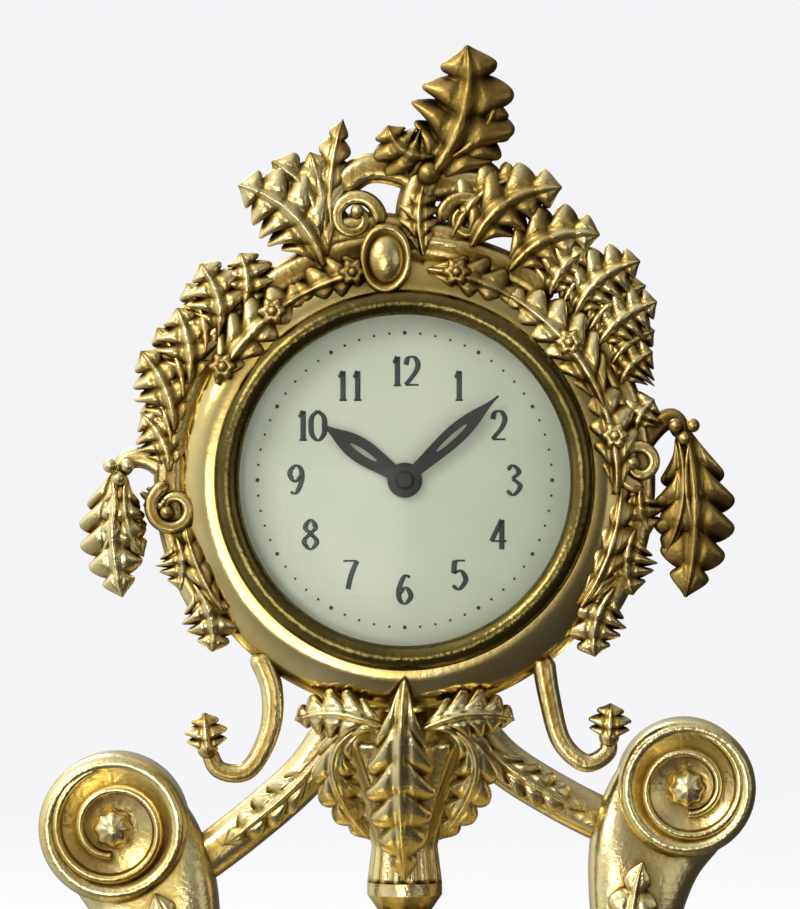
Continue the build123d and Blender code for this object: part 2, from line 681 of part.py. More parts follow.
def spiral_ribbon(place, r_in, r_out, turns, width, y_front, y_back, start=0.0):
    """Flat strip wound in an even spiral, such as a spring or a groove."""
    steps = round(turns * SPIRAL_STEPS)
    grow, turn = (r_out - r_in) / steps, 360.0 * turns / steps

    def edge(shift):
        return [polar(r_in + shift + grow * k, start + turn * k, place) for k in range(steps + 1)]

    inner, outer = edge(-width / 2), edge(width / 2)
    sides = [Spline(*inner), Line(inner[-1], outer[-1]), Spline(*outer), Line(outer[0], inner[0])]
    return prism(make_face(sides), y_front, y_back)


def lens(plane, half_width, front, back):
    """Leaf cross-section: two shallow arcs, the fuller one to the front."""
    left, right = (-half_width, 0.0), (half_width, 0.0)
    arcs = [ThreePointArc(left, (0.0, front), right), ThreePointArc(right, (0.0, -back), left)]
    return plane * make_face(arcs)


def frond(path, widths, front, back):
    """Leaf, stem or scroll along a path: sections stand square to it, widest across the dial's plane."""
    sections = []
    for k, width in enumerate(widths):
        t = k / (len(widths) - 1)
        along = path % t
        across = Vector(-along.Z, 0, along.X).normalized()
        plane = Plane(origin=path @ t, x_dir=across, z_dir=along)
        thin = (width / max(widths)) ** LEAF_THINNING
        most = LEAF_ROUNDNESS * width
        sections.append(lens(plane, width / 2, min(front * thin, most), min(back * thin, most)))
    return loft(sections)


def bowed(start, tip, bow):
    """Arc from a root to a tip whose middle stands off the straight line by a share of its length."""
    a, b = Vector(*start), Vector(*tip)
    span = b - a
    off = Vector(-span.Z, 0, span.X) * bow
    return ThreePointArc(a, (a + b) / 2 + off, b) if bow else Line(a, b)


def leaf(start, tip, bow, width, front=LEAF_FRONT, back=LEAF_BACK):
    """Single bowed leaf from its root to its tip, points given as x, y, z."""
    return frond(bowed(start, tip, bow), [width * share for share in LEAF_SHAPE], front, back)


def relief(point, rise=0.0):
    """Point of the ornament's mean plane, pushed forward by a rise."""
    return (point[0], RELIEF_Y - rise, point[1])


def crown(x, rise, forward=0.0):
    """Point of the ornament above the ring's top."""
    return relief((x, RING_R + rise), forward)


def beside(side, reach, height, forward=0.0):
    """Point of the ornament beyond the ring's left or right edge."""
    return relief((side * (RING_R + reach), height), forward)


def stem(points, width, end_width):
    """Rounded stem through given points."""
    path = Spline(*points)
    count = 3 * len(points)
    widths = [width + (end_width - width) * k / (count - 1) for k in range(count)]
    return frond(path, widths, STEM_DEPTH, STEM_DEPTH)


def ring_arc(radius, start, end, rise=0.0):
    """Arc about the dial's axis between two directions, in the ornament's plane or in front of it."""
    points = [polar(radius, a) for a in (start, (start + end) / 2, end)]
    return ThreePointArc(*[relief(p, rise) for p in points])


def rim_stem(start, end):
    """Stem that follows the case's rim between two directions."""
    return frond(ring_arc(STEM_CIRCLE_R, start, end), [STEM_W] * 9, RIM_STEM_FRONT, RIM_STEM_BACK)


def overlay_leaf(start, end, width):
    """Leaf that lies on the front of the case's ring, between two directions."""
    path = ring_arc(OVERLAY_CIRCLE_R, start, end, OVERLAY_RISE)
    return frond(path, [width * share for share in LEAF_SHAPE], OVERLAY_FRONT, OVERLAY_BACK)


def rim_leaf(root, tip, reach, bow, width, rise):
    """Leaf that springs from the rim stem in one direction and ends free beyond the ring in another."""
    start, end = polar(STEM_CIRCLE_R, root), polar(RING_R + reach, tip)
    return leaf(relief(start, RIM_LEAF_RISE), relief(end, rise), bow, width)


def screw(place, radius, head_r, y_head, y_tip, head_t=SCREW_HEAD_T):
    """Screw along Y: the head stands off the seat, the shank runs from the seat to the tip."""
    out = math.copysign(head_t, y_head - y_tip)
    low, high = sorted((y_head, y_tip))
    head_low, head_high = sorted((y_head, y_head + out))
    return joined([rod(place, radius, low, high), rod(place, head_r, head_low, head_high)])


# Case


def drum_case():
    """Tube with an inner shoulder for the movement and two hinge knuckles at the back."""
    shoulder_back = FRONT_PLATE_BACK + SHOULDER_T
    wall = sleeve(CENTRE, DRUM_R, DRUM_BORE_R, DRUM_FRONT_Y, DRUM_BACK_Y)
    body = joined([wall, sleeve(CENTRE, DRUM_R, SHOULDER_R, FRONT_PLATE_BACK, shoulder_back)])
    for place in movement_screw_places():
        body -= rod(place, SCREW_R + FIT, FRONT_PLATE_BACK, shoulder_back)
    for x in (-PENDANT_SCREW_X, PENDANT_SCREW_X):
        body -= post(x, 0, SCREW_R + FIT, -DRUM_R - DRUM_WALL, 0)
    knuckles = [knuckle(z) for z in (HINGE_KNUCKLE, -HINGE_KNUCKLE)]
    return joined([body, *knuckles])


def knuckle(z):
    """Fixed hinge knuckle with its ear on the drum's wall."""
    low = z - HINGE_KNUCKLE / 2 + DOOR_GAP
    height = HINGE_KNUCKLE - 2 * DOOR_GAP
    barrel = post(HINGE_X, HINGE_Y, HINGE_R, low, low + height)
    ear_low = (DRUM_R - DRUM_WALL / 2, HINGE_Y - 3 * HINGE_R, low)
    ear = Pos(*ear_low) * Box(HINGE_X + HINGE_R - ear_low[0], 3 * HINGE_R, height, align=Align.MIN)
    ear -= rod(CENTRE, DRUM_BORE_R + FIT, DRUM_FRONT_Y, DRUM_BACK_Y + 2 * HINGE_R)
    ear -= Pos(0, DRUM_BACK_Y, low) * Box(DRUM_R + 3 * DOOR_GAP, 3 * HINGE_R, height, align=Align.MIN)
    return joined([barrel, ear]) - post(HINGE_X, HINGE_Y, HINGE_PIN_R, low, low + height)


def hinge_pin():
    reach = 1.5 * HINGE_KNUCKLE
    return post(HINGE_X, HINGE_Y, HINGE_PIN_R - PRESS, -reach, reach)


def front_ring():
    """Polished convex ring that covers the drum's front edge."""
    lip_r = BEZEL_R + FIT
    seat_r = DRUM_R + FIT
    crest_r = (lip_r + RING_R) / 2 + RING_SWELL_OUT
    mid = (crest_r, (RING_FRONT_Y + RING_EDGE_Y) / 2 - RING_SWELL_FRONT)
    ring = turned(
        [
            Line((lip_r, DRUM_FRONT_Y), (lip_r, RING_FRONT_Y)),
            ThreePointArc((lip_r, RING_FRONT_Y), mid, (RING_R, RING_EDGE_Y)),
            Line((RING_R, RING_EDGE_Y), (RING_R, RING_BACK_Y)),
            Line((RING_R, RING_BACK_Y), (seat_r, RING_BACK_Y)),
            Line((seat_r, RING_BACK_Y), (seat_r, DRUM_FRONT_Y)),
            Line((seat_r, DRUM_FRONT_Y), (lip_r, DRUM_FRONT_Y)),
        ]
    )
    for a in LEFT_SCREWS + CREST_SCREWS + RIGHT_SCREWS:
        ring -= rod(polar(ORNAMENT_SCREW_CIRCLE_R, a), ORNAMENT_SCREW_R + FIT, RING_FRONT_Y, RING_BACK_Y)
    return ring


def bezel():
    """Beaded ring that holds the glass and plugs into the drum."""
    bead = ((DIAL_OPENING_R + BEZEL_R) / 2 - BEZEL_LEAN, BEZEL_FRONT_Y)
    lip_y = GLASS_FRONT_Y - BEZEL_BEAD / 2
    outer_y = RING_FRONT_Y - BEZEL_PROUD
    return turned(
        [
            Line((DIAL_OPENING_R, GLASS_FRONT_Y), (DIAL_OPENING_R, lip_y)),
            ThreePointArc((DIAL_OPENING_R, lip_y), bead, (BEZEL_R, outer_y)),
            Line((BEZEL_R, outer_y), (BEZEL_R, BEZEL_BACK_Y)),
            Line((BEZEL_R, BEZEL_BACK_Y), (GLASS_SEAT_R, BEZEL_BACK_Y)),
            Line((GLASS_SEAT_R, BEZEL_BACK_Y), (GLASS_SEAT_R, GLASS_FRONT_Y)),
            Line((GLASS_SEAT_R, GLASS_FRONT_Y), (DIAL_OPENING_R, GLASS_FRONT_Y)),
        ]
    )


def glass():
    """Domed glass with a flat rim behind the bezel's lip."""
    rim_r = GLASS_SEAT_R - FIT
    dome_r = DIAL_OPENING_R - GLASS_DOME_ROOM
    front, back = GLASS_FRONT_Y, GLASS_BACK_Y
    return turned(
        [
            Line((rim_r, back), (rim_r, front)),
            Line((rim_r, front), (dome_r, front)),
            cap(dome_r, front, -GLASS_DOME),
            Line((0, front - GLASS_DOME), (0, back - GLASS_DOME)),
            cap(dome_r, back, -GLASS_DOME),
            Line((dome_r, back), (rim_r, back)),
        ]
    )


def dial_slip():
    """Gilt spacer ring between the glass and the dial."""
    return sleeve(CENTRE, GLASS_SEAT_R - FIT, DIAL_OPENING_R + SLIP_INSET, GLASS_BACK_Y, DIAL_RIM_Y)


def dial():
    """Crowned enamel dial with three feet through the front plate."""
    crown_r = DIAL_OPENING_R
    plate = turned(
        [
            Line((DIAL_HOLE_R, DIAL_BACK_Y), (DIAL_R, DIAL_BACK_Y)),
            Line((DIAL_R, DIAL_BACK_Y), (DIAL_R, DIAL_RIM_Y)),
            Line((DIAL_R, DIAL_RIM_Y), (crown_r, DIAL_RIM_Y)),
            ThreePointArc(
                (crown_r, DIAL_RIM_Y),
                (ARC_SHARE * crown_r, DIAL_RIM_Y - (1 - ARC_SHARE**2) * DIAL_CROWN),
                (DIAL_HOLE_R, DIAL_FACE_Y),
            ),
            Line((DIAL_HOLE_R, DIAL_FACE_Y), (DIAL_HOLE_R, DIAL_BACK_Y)),
        ]
    )
    root_y, end_y = DIAL_BACK_Y - DIAL_RIM_T / 2, FRONT_PLATE_BACK + DIAL_FOOT_PROUD
    feet = [rod(place, DIAL_FOOT_R, root_y, end_y) for place in dial_foot_places()]
    return joined([plate, *feet])


def back_door():
    """Dished door on its hinge knuckle."""
    back = DOOR_Y + DOOR_T
    dish_r = DRUM_BORE_R - DOOR_RIM_W
    plate = turned(
        [
            Line((0, DOOR_Y + DOOR_DOME), (0, back + DOOR_DOME)),
            cap(dish_r, back, DOOR_DOME),
            Line((dish_r, back), (DOOR_R, back)),
            Line((DOOR_R, back), (DOOR_R, DOOR_Y)),
            Line((DOOR_R, DOOR_Y), (dish_r, DOOR_Y)),
            cap(dish_r, DOOR_Y, DOOR_DOME),
        ]
    )
    half = HINGE_KNUCKLE / 2 - DOOR_GAP
    barrel = post(HINGE_X, HINGE_Y, HINGE_R, -half, half)
    strap_x = DOOR_R - DOOR_STRAP
    strap = Pos(strap_x, DOOR_Y, -half) * Box(HINGE_X - strap_x, DOOR_T, 2 * half, align=Align.MIN)
    return joined([plate, strap, barrel]) - post(HINGE_X, HINGE_Y, HINGE_PIN_R + RUNNING, -half, half)


def door_knob():
    """Small turned pull on the door's free edge."""
    seat = DOOR_Y + DOOR_T
    place = (PULL_INSET - DRUM_BORE_R, 0.0)
    neck = rod(place, PULL_NECK_R, seat, seat + PULL_STANDOFF)
    ball = Pos(place[0], seat + PULL_STANDOFF, place[1]) * Sphere(PULL_R)
    return joined([neck, ball])


# Movement


def train_holes():
    """Pivot holes that both plates share."""
    return [(place, PIVOT_R + RUNNING) for place in (INTERMEDIATE, THIRD, FOURTH)]


def plate(radius, y_front, holes):
    body = rod(CENTRE, radius, y_front, y_front + PLATE_T)
    for place, hole_r in holes:
        body -= rod(place, hole_r, y_front, y_front + PLATE_T)
    return body


def pillar_places():
    return [polar(PILLAR_CIRCLE_R, a) for a in around(PILLAR_COUNT, PILLAR_START)]


def movement_screw_places():
    return [polar(MOVEMENT_SCREW_CIRCLE_R, a) for a in around(MOVEMENT_SCREW_COUNT, MOVEMENT_SCREW_START)]


def dial_foot_places():
    return [polar(DIAL_FOOT_CIRCLE_R, a) for a in around(DIAL_FOOT_COUNT, DIAL_FOOT_START)]


def front_plate():
    """Dial-side plate with the fixed post for the minute wheel."""
    holes = train_holes()
    holes += [(ESCAPE, ESCAPE_PIVOT_R + RUNNING)]
    holes += [(CENTRE, CENTRE_ARBOR_R + RUNNING), (BARREL, BARREL_ARBOR_R + RUNNING)]
    holes += [(place, DIAL_FOOT_R + FIT) for place in dial_foot_places()]
    holes += [(place, SCREW_R + FIT) for place in movement_screw_places() + pillar_places()]
    body = plate(FRONT_PLATE_R, FRONT_PLATE_Y, holes)
    return joined([body, rod(MINUTE, PIVOT_R, DIAL_BACK_Y + LAYER_GAP, FRONT_PLATE_Y + PLATE_T / 2)])


def back_plate():
    """Rear plate with the posts for the lever and the click."""
    holes = train_holes()
    holes += [(ESCAPE, ESCAPE_ARBOR_R + RUNNING)]
    holes += [(CENTRE, CENTRE_ARBOR_R + RUNNING), (BARREL, BARREL_ARBOR_R + RUNNING)]
    holes += [(BALANCE, PIVOT_R + RUNNING)]
    holes += [(place, SCREW_R + FIT) for place in pillar_places()]
    holes += [(COCK_FOOT, SCREW_R + FIT)]
    body = plate(BACK_PLATE_R, BACK_PLATE_Y, holes)
    posts = [rod(LEVER, PIVOT_R, BACK_PLATE_Y + PLATE_T / 2, LEVER_LAYER_Y + WHEEL_T + 3 * SHAKE)]
    posts += [rod(CLICK, PIVOT_R, BACK_PLATE_Y + PLATE_T / 2, RATCHET_BACK + 1.5 * SHAKE)]
    return joined([body, *posts])


def pillars():
    """Turned pillars with a tapped hole at each end."""
    grip = SCREW_GRIP + TIP_ROOM
    found = []
    for place in pillar_places():
        bar = rod(place, PILLAR_R, FRONT_PLATE_BACK, BACK_PLATE_Y)
        bar -= rod(place, SCREW_R + FIT, FRONT_PLATE_BACK, FRONT_PLATE_BACK + grip)
        bar -= rod(place, SCREW_R + FIT, BACK_PLATE_Y - grip, BACK_PLATE_Y)
        found.append(bar)
    return found


def plate_screws():
    """Screws through both plates into the pillars' ends."""
    reach = PLATE_T + SCREW_GRIP
    ends = ((FRONT_PLATE_Y, FRONT_PLATE_Y + reach), (BACK_PLATE_BACK, BACK_PLATE_BACK - reach))
    return [screw(place, SCREW_R, SCREW_HEAD_R, *end) for end in ends for place in pillar_places()]


def movement_screws():
    """Screws through the front plate into the drum's shoulder."""
    tip = FRONT_PLATE_BACK + SHOULDER_T - SHAKE
    return [screw(place, SCREW_R, SCREW_HEAD_R, FRONT_PLATE_Y, tip) for place in movement_screw_places()]


def barrel():
    """Going barrel: toothed floor and wall, open to the front."""
    line = direction(BARREL, INTERMEDIATE)
    sketch = gear_sketch(BARREL, BARREL_TEETH, BARREL_MODULE, WHEEL_TOOTH, line)
    floor = prism(sketch, GREAT_WHEEL_Y, GREAT_WHEEL_BACK)
    wall = sleeve(BARREL, BARREL_R, BARREL_R - BARREL_WALL, BARREL_FRONT, GREAT_WHEEL_Y + SHAKE)
    return joined([floor, wall]) - rod(BARREL, BARREL_ARBOR_R + RUNNING, BARREL_FRONT, GREAT_WHEEL_BACK)


def barrel_cover():
    return sleeve(BARREL, BARREL_R, BARREL_ARBOR_R + RUNNING, BARREL_COVER_Y, BARREL_FRONT)


def mainspring():
    room = 3 * SHAKE
    r_in, r_out = BARREL_HUB_R + room, BARREL_R - BARREL_WALL - room
    y_front, y_back = BARREL_FRONT + 2 * SHAKE, GREAT_WHEEL_Y - 2 * SHAKE
    return spiral_ribbon(BARREL, r_in, r_out, MAINSPRING_TURNS, MAINSPRING_T, y_front, y_back)


def barrel_arbor():
    """Arbor with the spring's hub and a square for the key."""
    bar = rod(BARREL, BARREL_ARBOR_R, FRONT_PLATE_Y + 2 * SHAKE, RATCHET_Y)
    hub = rod(BARREL, BARREL_HUB_R, BARREL_FRONT + SHAKE, GREAT_WHEEL_Y - SHAKE)
    square = prism(Pos(*BARREL) * Rectangle(WINDING_SQUARE, WINDING_SQUARE), BACK_PLATE_BACK, SQUARE_END_Y)
    return joined([bar, hub, square])


def ratchet_wheel():
    """Saw-toothed wheel on the winding square."""
    step = 360.0 / RATCHET_TEETH
    points = []
    for a in around(RATCHET_TEETH):
        points += [
            polar(RATCHET_R, a, BARREL),
            polar(RATCHET_R - RATCHET_DEPTH, a + RATCHET_RAKE * step, BARREL),
        ]
    sketch = Polygon(*points, align=None)
    sketch -= Pos(*BARREL) * Rectangle(WINDING_SQUARE + FIT, WINDING_SQUARE + FIT)
    return prism(sketch, RATCHET_Y, RATCHET_BACK)


def click_points():
    """Outer root and tip of the click's arm."""
    line = direction(BARREL, CLICK)
    tip = polar(RATCHET_R + CLICK_ROOM + RUNNING, line + CLICK_SWEEP, BARREL)
    return polar(CLICK_ROOT_R, line, CLICK), tip


def click():
    """Pawl beside the ratchet wheel, on its post."""
    root, tip = click_points()
    inner = polar(CLICK_ROOT_R, direction(BARREL, CLICK) - CLICK_HEEL, CLICK)
    arm = prism(make_face(outline(root, inner, tip)), RATCHET_Y, RATCHET_BACK)
    body = joined([rod(CLICK, CLICK_HUB_R, RATCHET_Y, RATCHET_BACK), arm])
    body -= rod(BARREL, RATCHET_R + CLICK_ROOM, RATCHET_Y, RATCHET_BACK)
    return body - rod(CLICK, PIVOT_R + RUNNING, RATCHET_Y, RATCHET_BACK)


def click_spring():
    """Flat strip from its stud on the back plate to the back of the click's arm."""
    root, tip = click_points()
    touch = tuple(a + CLICK_TOUCH * (b - a) for a, b in zip(root, tip))
    end = polar(2 * CLICK_ROOM + MAINSPRING_T / 2, direction(root, tip) - 90.0, touch)
    stud = polar(CLICK_STUD_REACH, direction(BARREL, CLICK) + CLICK_STUD_TURN, CLICK)
    strip = prism(trace(Line(stud, end), MAINSPRING_T), RATCHET_Y, RATCHET_BACK)
    return joined([rod(stud, CLICK_STUD_R, BACK_PLATE_BACK, RATCHET_BACK), strip])


def winding_key():
    """Fixed butterfly key on the winding square."""
    half = KEY_WING_SPAN / 4
    wing = Ellipse(half, KEY_WING_T / 2)
    hub = rod(BARREL, KEY_HUB_R, KEY_Y, KEY_BACK)
    centres = [(BARREL[0] + side * half, BARREL[1]) for side in (-1, 1)]
    wings = [prism(Pos(*centre) * wing, KEY_Y + KEY_HUB_R, KEY_BACK) for centre in centres]
    side = WINDING_SQUARE + FIT
    socket = prism(Pos(*BARREL) * Rectangle(side, side), KEY_Y, SQUARE_END_Y + SHAKE)
    return joined([hub, *wings]) - socket


def intermediate_wheel():
    teeth = wheel(
        INTERMEDIATE,
        INTERMEDIATE_TEETH,
        INTERMEDIATE_MODULE,
        direction(INTERMEDIATE, CENTRE),
        INTERMEDIATE_WHEEL_Y,
        hub_r=INTERMEDIATE_HUB_R,
    )
    gap_at = facing_gap(INTERMEDIATE_LEAVES, direction(BARREL, INTERMEDIATE))
    front, back = GREAT_WHEEL_Y - SHAKE, GREAT_WHEEL_BACK + LEAF_OVERHANG
    leaves = pinion(INTERMEDIATE, INTERMEDIATE_LEAVES, BARREL_MODULE, gap_at, front, back)
    return joined([*pivoted(INTERMEDIATE, INTERMEDIATE_ARBOR_R), teeth, leaves])


def centre_wheel():
    """Centre wheel and pinion on one sleeve, free to slip on the centre arbor."""
    gap_at = facing_gap(CENTRE_LEAVES, direction(INTERMEDIATE, CENTRE))
    pinion_y = INTERMEDIATE_WHEEL_Y - SHAKE
    parts = [
        rod(CENTRE, root_radius(CENTRE_LEAVES, INTERMEDIATE_MODULE), CENTRE_SLEEVE_Y, CENTRE_SLEEVE_BACK),
        wheel(CENTRE, CENTRE_TEETH, CENTRE_MODULE, direction(CENTRE, THIRD), CENTRE_WHEEL_Y),
        pinion(CENTRE, CENTRE_LEAVES, INTERMEDIATE_MODULE, gap_at, pinion_y, CENTRE_SLEEVE_BACK),
    ]
    return joined(parts) - rod(CENTRE, CENTRE_ARBOR_R + RUNNING, CENTRE_SLEEVE_Y, CENTRE_SLEEVE_BACK)


def third_wheel():
    gap_at = facing_gap(THIRD_LEAVES, direction(CENTRE, THIRD))
    arbor_r = root_radius(THIRD_LEAVES, CENTRE_MODULE) - RUNNING
    teeth = wheel(THIRD, THIRD_TEETH, THIRD_MODULE, direction(THIRD, FOURTH), THIRD_WHEEL_Y)
    leaves = pinion_over(CENTRE_WHEEL_Y, THIRD, THIRD_LEAVES, CENTRE_MODULE, gap_at)
    return joined([*pivoted(THIRD, arbor_r), teeth, leaves])


def fourth_wheel():
    gap_at = facing_gap(FOURTH_LEAVES, direction(THIRD, FOURTH))
    arbor_r = root_radius(FOURTH_LEAVES, THIRD_MODULE) - RUNNING
    teeth = wheel(FOURTH, FOURTH_TEETH, FOURTH_MODULE, direction(FOURTH, ESCAPE), FOURTH_WHEEL_Y)
    leaves = pinion_over(THIRD_WHEEL_Y, FOURTH, FOURTH_LEAVES, THIRD_MODULE, gap_at)
    return joined([*pivoted(FOURTH, arbor_r), teeth, leaves])


def escape_wheel():
    """Escape wheel behind the back plate, its pinion between the plates."""
    gap_at = facing_gap(ESCAPE_LEAVES, direction(FOURTH, ESCAPE))
    bar = rod(ESCAPE, ESCAPE_ARBOR_R, FRONT_PLATE_BACK + SHAKE, LEVER_LAYER_Y + WHEEL_T)
    pivot = rod(ESCAPE, ESCAPE_PIVOT_R, FRONT_PLATE_BACK - PIVOT_LENGTH, FRONT_PLATE_BACK + 2 * SHAKE)
    leaves = pinion_over(FOURTH_WHEEL_Y, ESCAPE, ESCAPE_LEAVES, FOURTH_MODULE, gap_at)
    step = 360.0 / ESCAPE_TEETH
    radii = (ESCAPE_R - ESCAPE_DEPTH, ESCAPE_R, ESCAPE_R, ESCAPE_R - ESCAPE_DEPTH)
    tooth = list(zip(radii, ESCAPE_TOOTH))
    points = [polar(r, a + share * step, ESCAPE) for a in around(ESCAPE_TEETH) for r, share in tooth]
    rim = prism(Polygon(*points, align=None), LEVER_LAYER_Y, LEVER_LAYER_Y + ESCAPE_T)
    return joined([bar, pivot, leaves, rim])


def pallet_lever():
    """Anchor with two pallets and a forked tail towards the balance."""
    y_front, y_back = LEVER_LAYER_Y, LEVER_LAYER_Y + WHEEL_T
    back_line = direction(LEVER, ESCAPE)
    tail_line = direction(LEVER, BALANCE)
    tail_end = polar(BALANCE_DISTANCE - FORK_ROOM, tail_line, LEVER)
    parts = [rod(LEVER, LEVER_HUB_R, y_front, y_back)]
    parts.append(prism(trace(Line(LEVER, tail_end), LEVER_W), y_front, y_back))
    for side in (-1, 1):
        elbow = polar(LEVER_ELBOW, back_line + side * LEVER_SPREAD, LEVER)
        nib = polar(ESCAPE_R + PALLET_ROOM, direction(ESCAPE, LEVER) - side * PALLET_SPREAD, ESCAPE)
        horn = polar(HORN_LENGTH, tail_line + side * LEVER_SPREAD, tail_end)
        parts.append(prism(trace(Polyline(LEVER, elbow, nib), LEVER_W), y_front, y_back))
        parts.append(prism(trace(Line(tail_end, horn), HORN_W), y_front, y_back))
    return joined(parts) - rod(LEVER, PIVOT_R + RUNNING, y_front, y_back)


def balance_wheel():
    """Rim with two arms on a staff that carries the impulse roller."""
    sketch = Circle(BALANCE_R) - Circle(BALANCE_R - BALANCE_RIM_W)
    sketch += Rectangle(2 * BALANCE_R - BALANCE_RIM_W, BALANCE_T)
    parts = [
        prism(Pos(*BALANCE) * sketch, BALANCE_LAYER_Y, BALANCE_LAYER_Y + BALANCE_T),
        rod(BALANCE, STAFF_R, BACK_PLATE_BACK + SHAKE, COCK_Y - SHAKE),
        rod(BALANCE, PIVOT_R, BACK_PLATE_BACK - PIVOT_LENGTH, COCK_BACK - SHAKE),
        rod(BALANCE, ROLLER_R, LEVER_LAYER_Y, LEVER_LAYER_Y + WHEEL_T),
    ]
    return joined(parts)


def hairspring():
    """Spiral of flat wire from the staff to its stud."""
    r_in = STAFF_R + SHAKE + HAIRSPRING_T / 2
    y_back = HAIRSPRING_Y + HAIRSPRING_H
    coil = spiral_ribbon(
        BALANCE, r_in, HAIRSPRING_R, HAIRSPRING_TURNS, HAIRSPRING_T, HAIRSPRING_Y, y_back
    )
    return joined([coil, rod(polar(HAIRSPRING_R, 0.0, BALANCE), 2 * HAIRSPRING_T, HAIRSPRING_Y, COCK_Y)])


def balance_cock():
    """Bridge over the balance, screwed to the back plate."""
    foot = rod(COCK_FOOT, COCK_W / 2, BACK_PLATE_BACK, COCK_BACK)
    bar = prism(trace(Line(COCK_FOOT, BALANCE), COCK_W), COCK_Y, COCK_BACK)
    head = rod(BALANCE, COCK_HEAD_R, COCK_Y, COCK_BACK)
    body = joined([foot, bar, head])
    body -= rod(COCK_FOOT, SCREW_R + FIT, BACK_PLATE_BACK, COCK_BACK)
    return body - rod(BALANCE, PIVOT_R + RUNNING, COCK_Y, COCK_BACK)


def cock_screw():
    return screw(COCK_FOOT, SCREW_R, SCREW_HEAD_R, COCK_BACK, BACK_PLATE_Y + 2 * SHAKE)


def regulator():
    """Slow and fast lever that turns round the cock's head."""
    y_front = COCK_BACK + SHAKE / 2
    y_back = y_front + WHEEL_T
    ring = sleeve(BALANCE, REGULATOR_R, PIVOT_R + REGULATOR_BORE_ROOM, y_front, y_back)
    root, tip = (polar(r, 180.0, BALANCE) for r in (REGULATOR_R - 4 * SHAKE, REGULATOR_REACH))
    return joined([ring, prism(trace(Line(root, tip), REGULATOR_W), y_front, y_back)])


def centre_arbor():
    """Arbor from the hands to the set knob, with collars each side of the centre wheel."""
    bar = rod(CENTRE, CENTRE_ARBOR_R, MINUTE_HAND_Y, KNOB_BACK - KNOB_CAP_T)
    fronts = (CENTRE_SLEEVE_Y - SHAKE / 2 - COLLAR_T, CENTRE_SLEEVE_BACK + SHAKE / 2)
    collars = [rod(CENTRE, CENTRE_ARBOR_R + COLLAR_W, y, y + COLLAR_T) for y in fronts]
    return joined([bar, *collars])


def cannon_pinion():
    line = direction(CENTRE, MINUTE)
    sketch = gear_sketch(CENTRE, CANNON_TEETH, MOTION_MODULE, PINION_TOOTH, line)
    teeth = prism(sketch, MINUTE_LAYER_Y, CANNON_BACK)
    pipe = rod(CENTRE, CANNON_R, MINUTE_HAND_Y, MINUTE_LAYER_Y + SHAKE)
    return joined([teeth, pipe]) - rod(CENTRE, CENTRE_ARBOR_R, MINUTE_HAND_Y, FRONT_PLATE_Y)


def minute_wheel():
    to_centre = direction(MINUTE, CENTRE)
    gap_at = to_centre + 180.0 / MINUTE_TEETH
    wheel_y = MINUTE_LAYER_Y + SHAKE
    teeth = wheel(MINUTE, MINUTE_TEETH, MOTION_MODULE, gap_at, wheel_y, MOTION_SPOKES, MINUTE_HUB_R)
    front, back = HOUR_LAYER_Y - SHAKE, MINUTE_LAYER_Y + WHEEL_T
    leaves = pinion(MINUTE, MINUTE_LEAVES, HOUR_MODULE, to_centre, front, back)
    return joined([teeth, leaves]) - rod(MINUTE, PIVOT_R + RUNNING, DIAL_BACK_Y, FRONT_PLATE_Y)


def hour_wheel():
    gap_at = direction(CENTRE, MINUTE) + 180.0 / HOUR_TEETH
    teeth = wheel(CENTRE, HOUR_TEETH, HOUR_MODULE, gap_at, HOUR_LAYER_Y, MOTION_SPOKES, HOUR_HUB_R)
    pipe = rod(CENTRE, HOUR_PIPE_R, HOUR_HAND_Y, HOUR_LAYER_Y + SHAKE)
    bore = rod(CENTRE, CANNON_R + RUNNING, HOUR_HAND_Y, HOUR_LAYER_Y + WHEEL_T)
    return joined([teeth, pipe]) - bore


def hand_sketch(length, width, hub_r, heading):
    """Leaf hand: a hub, a broad pierced blade and a fine tip."""
    edge = [(length * along, width * half) for along, half in HAND_EDGE]
    other = [(x, -z) for x, z in reversed(edge)]
    sides = [Spline(*edge), Line(edge[-1], other[0]), Spline(*other), Line(other[-1], edge[0])]
    start, end = (length * share for share in HAND_SLOT)
    slot = Pos((start + end) / 2, 0) * Ellipse((end - start) / 2, HAND_SLOT_W / 2)
    return Rot(0, 0, heading) * (Circle(hub_r) + make_face(sides) - slot)


def hour_hand():
    heading = 90.0 - 30.0 * (HOURS_SHOWN + MINUTES_SHOWN / 60.0)
    sketch = hand_sketch(HOUR_HAND_LENGTH, HOUR_HAND_W, HOUR_HAND_HUB_R, heading) - Circle(HOUR_PIPE_R)
    return prism(sketch, HOUR_HAND_Y, HOUR_HAND_Y + HAND_T)


def minute_hand():
    heading = 90.0 - 6.0 * MINUTES_SHOWN
    sketch = hand_sketch(MINUTE_HAND_LENGTH, MINUTE_HAND_W, MINUTE_HAND_HUB_R, heading) - Circle(CANNON_R)
    return prism(sketch, MINUTE_HAND_Y, MINUTE_HAND_Y + HAND_T)


def hand_nut():
    """Domed collet that holds the minute hand on its arbor."""
    base = rod(CENTRE, HAND_NUT_R, MINUTE_HAND_Y - HAND_NUT_T, MINUTE_HAND_Y)
    return chamfer(base.edges().sort_by(Axis.Y)[0], HAND_NUT_CHAMFER)


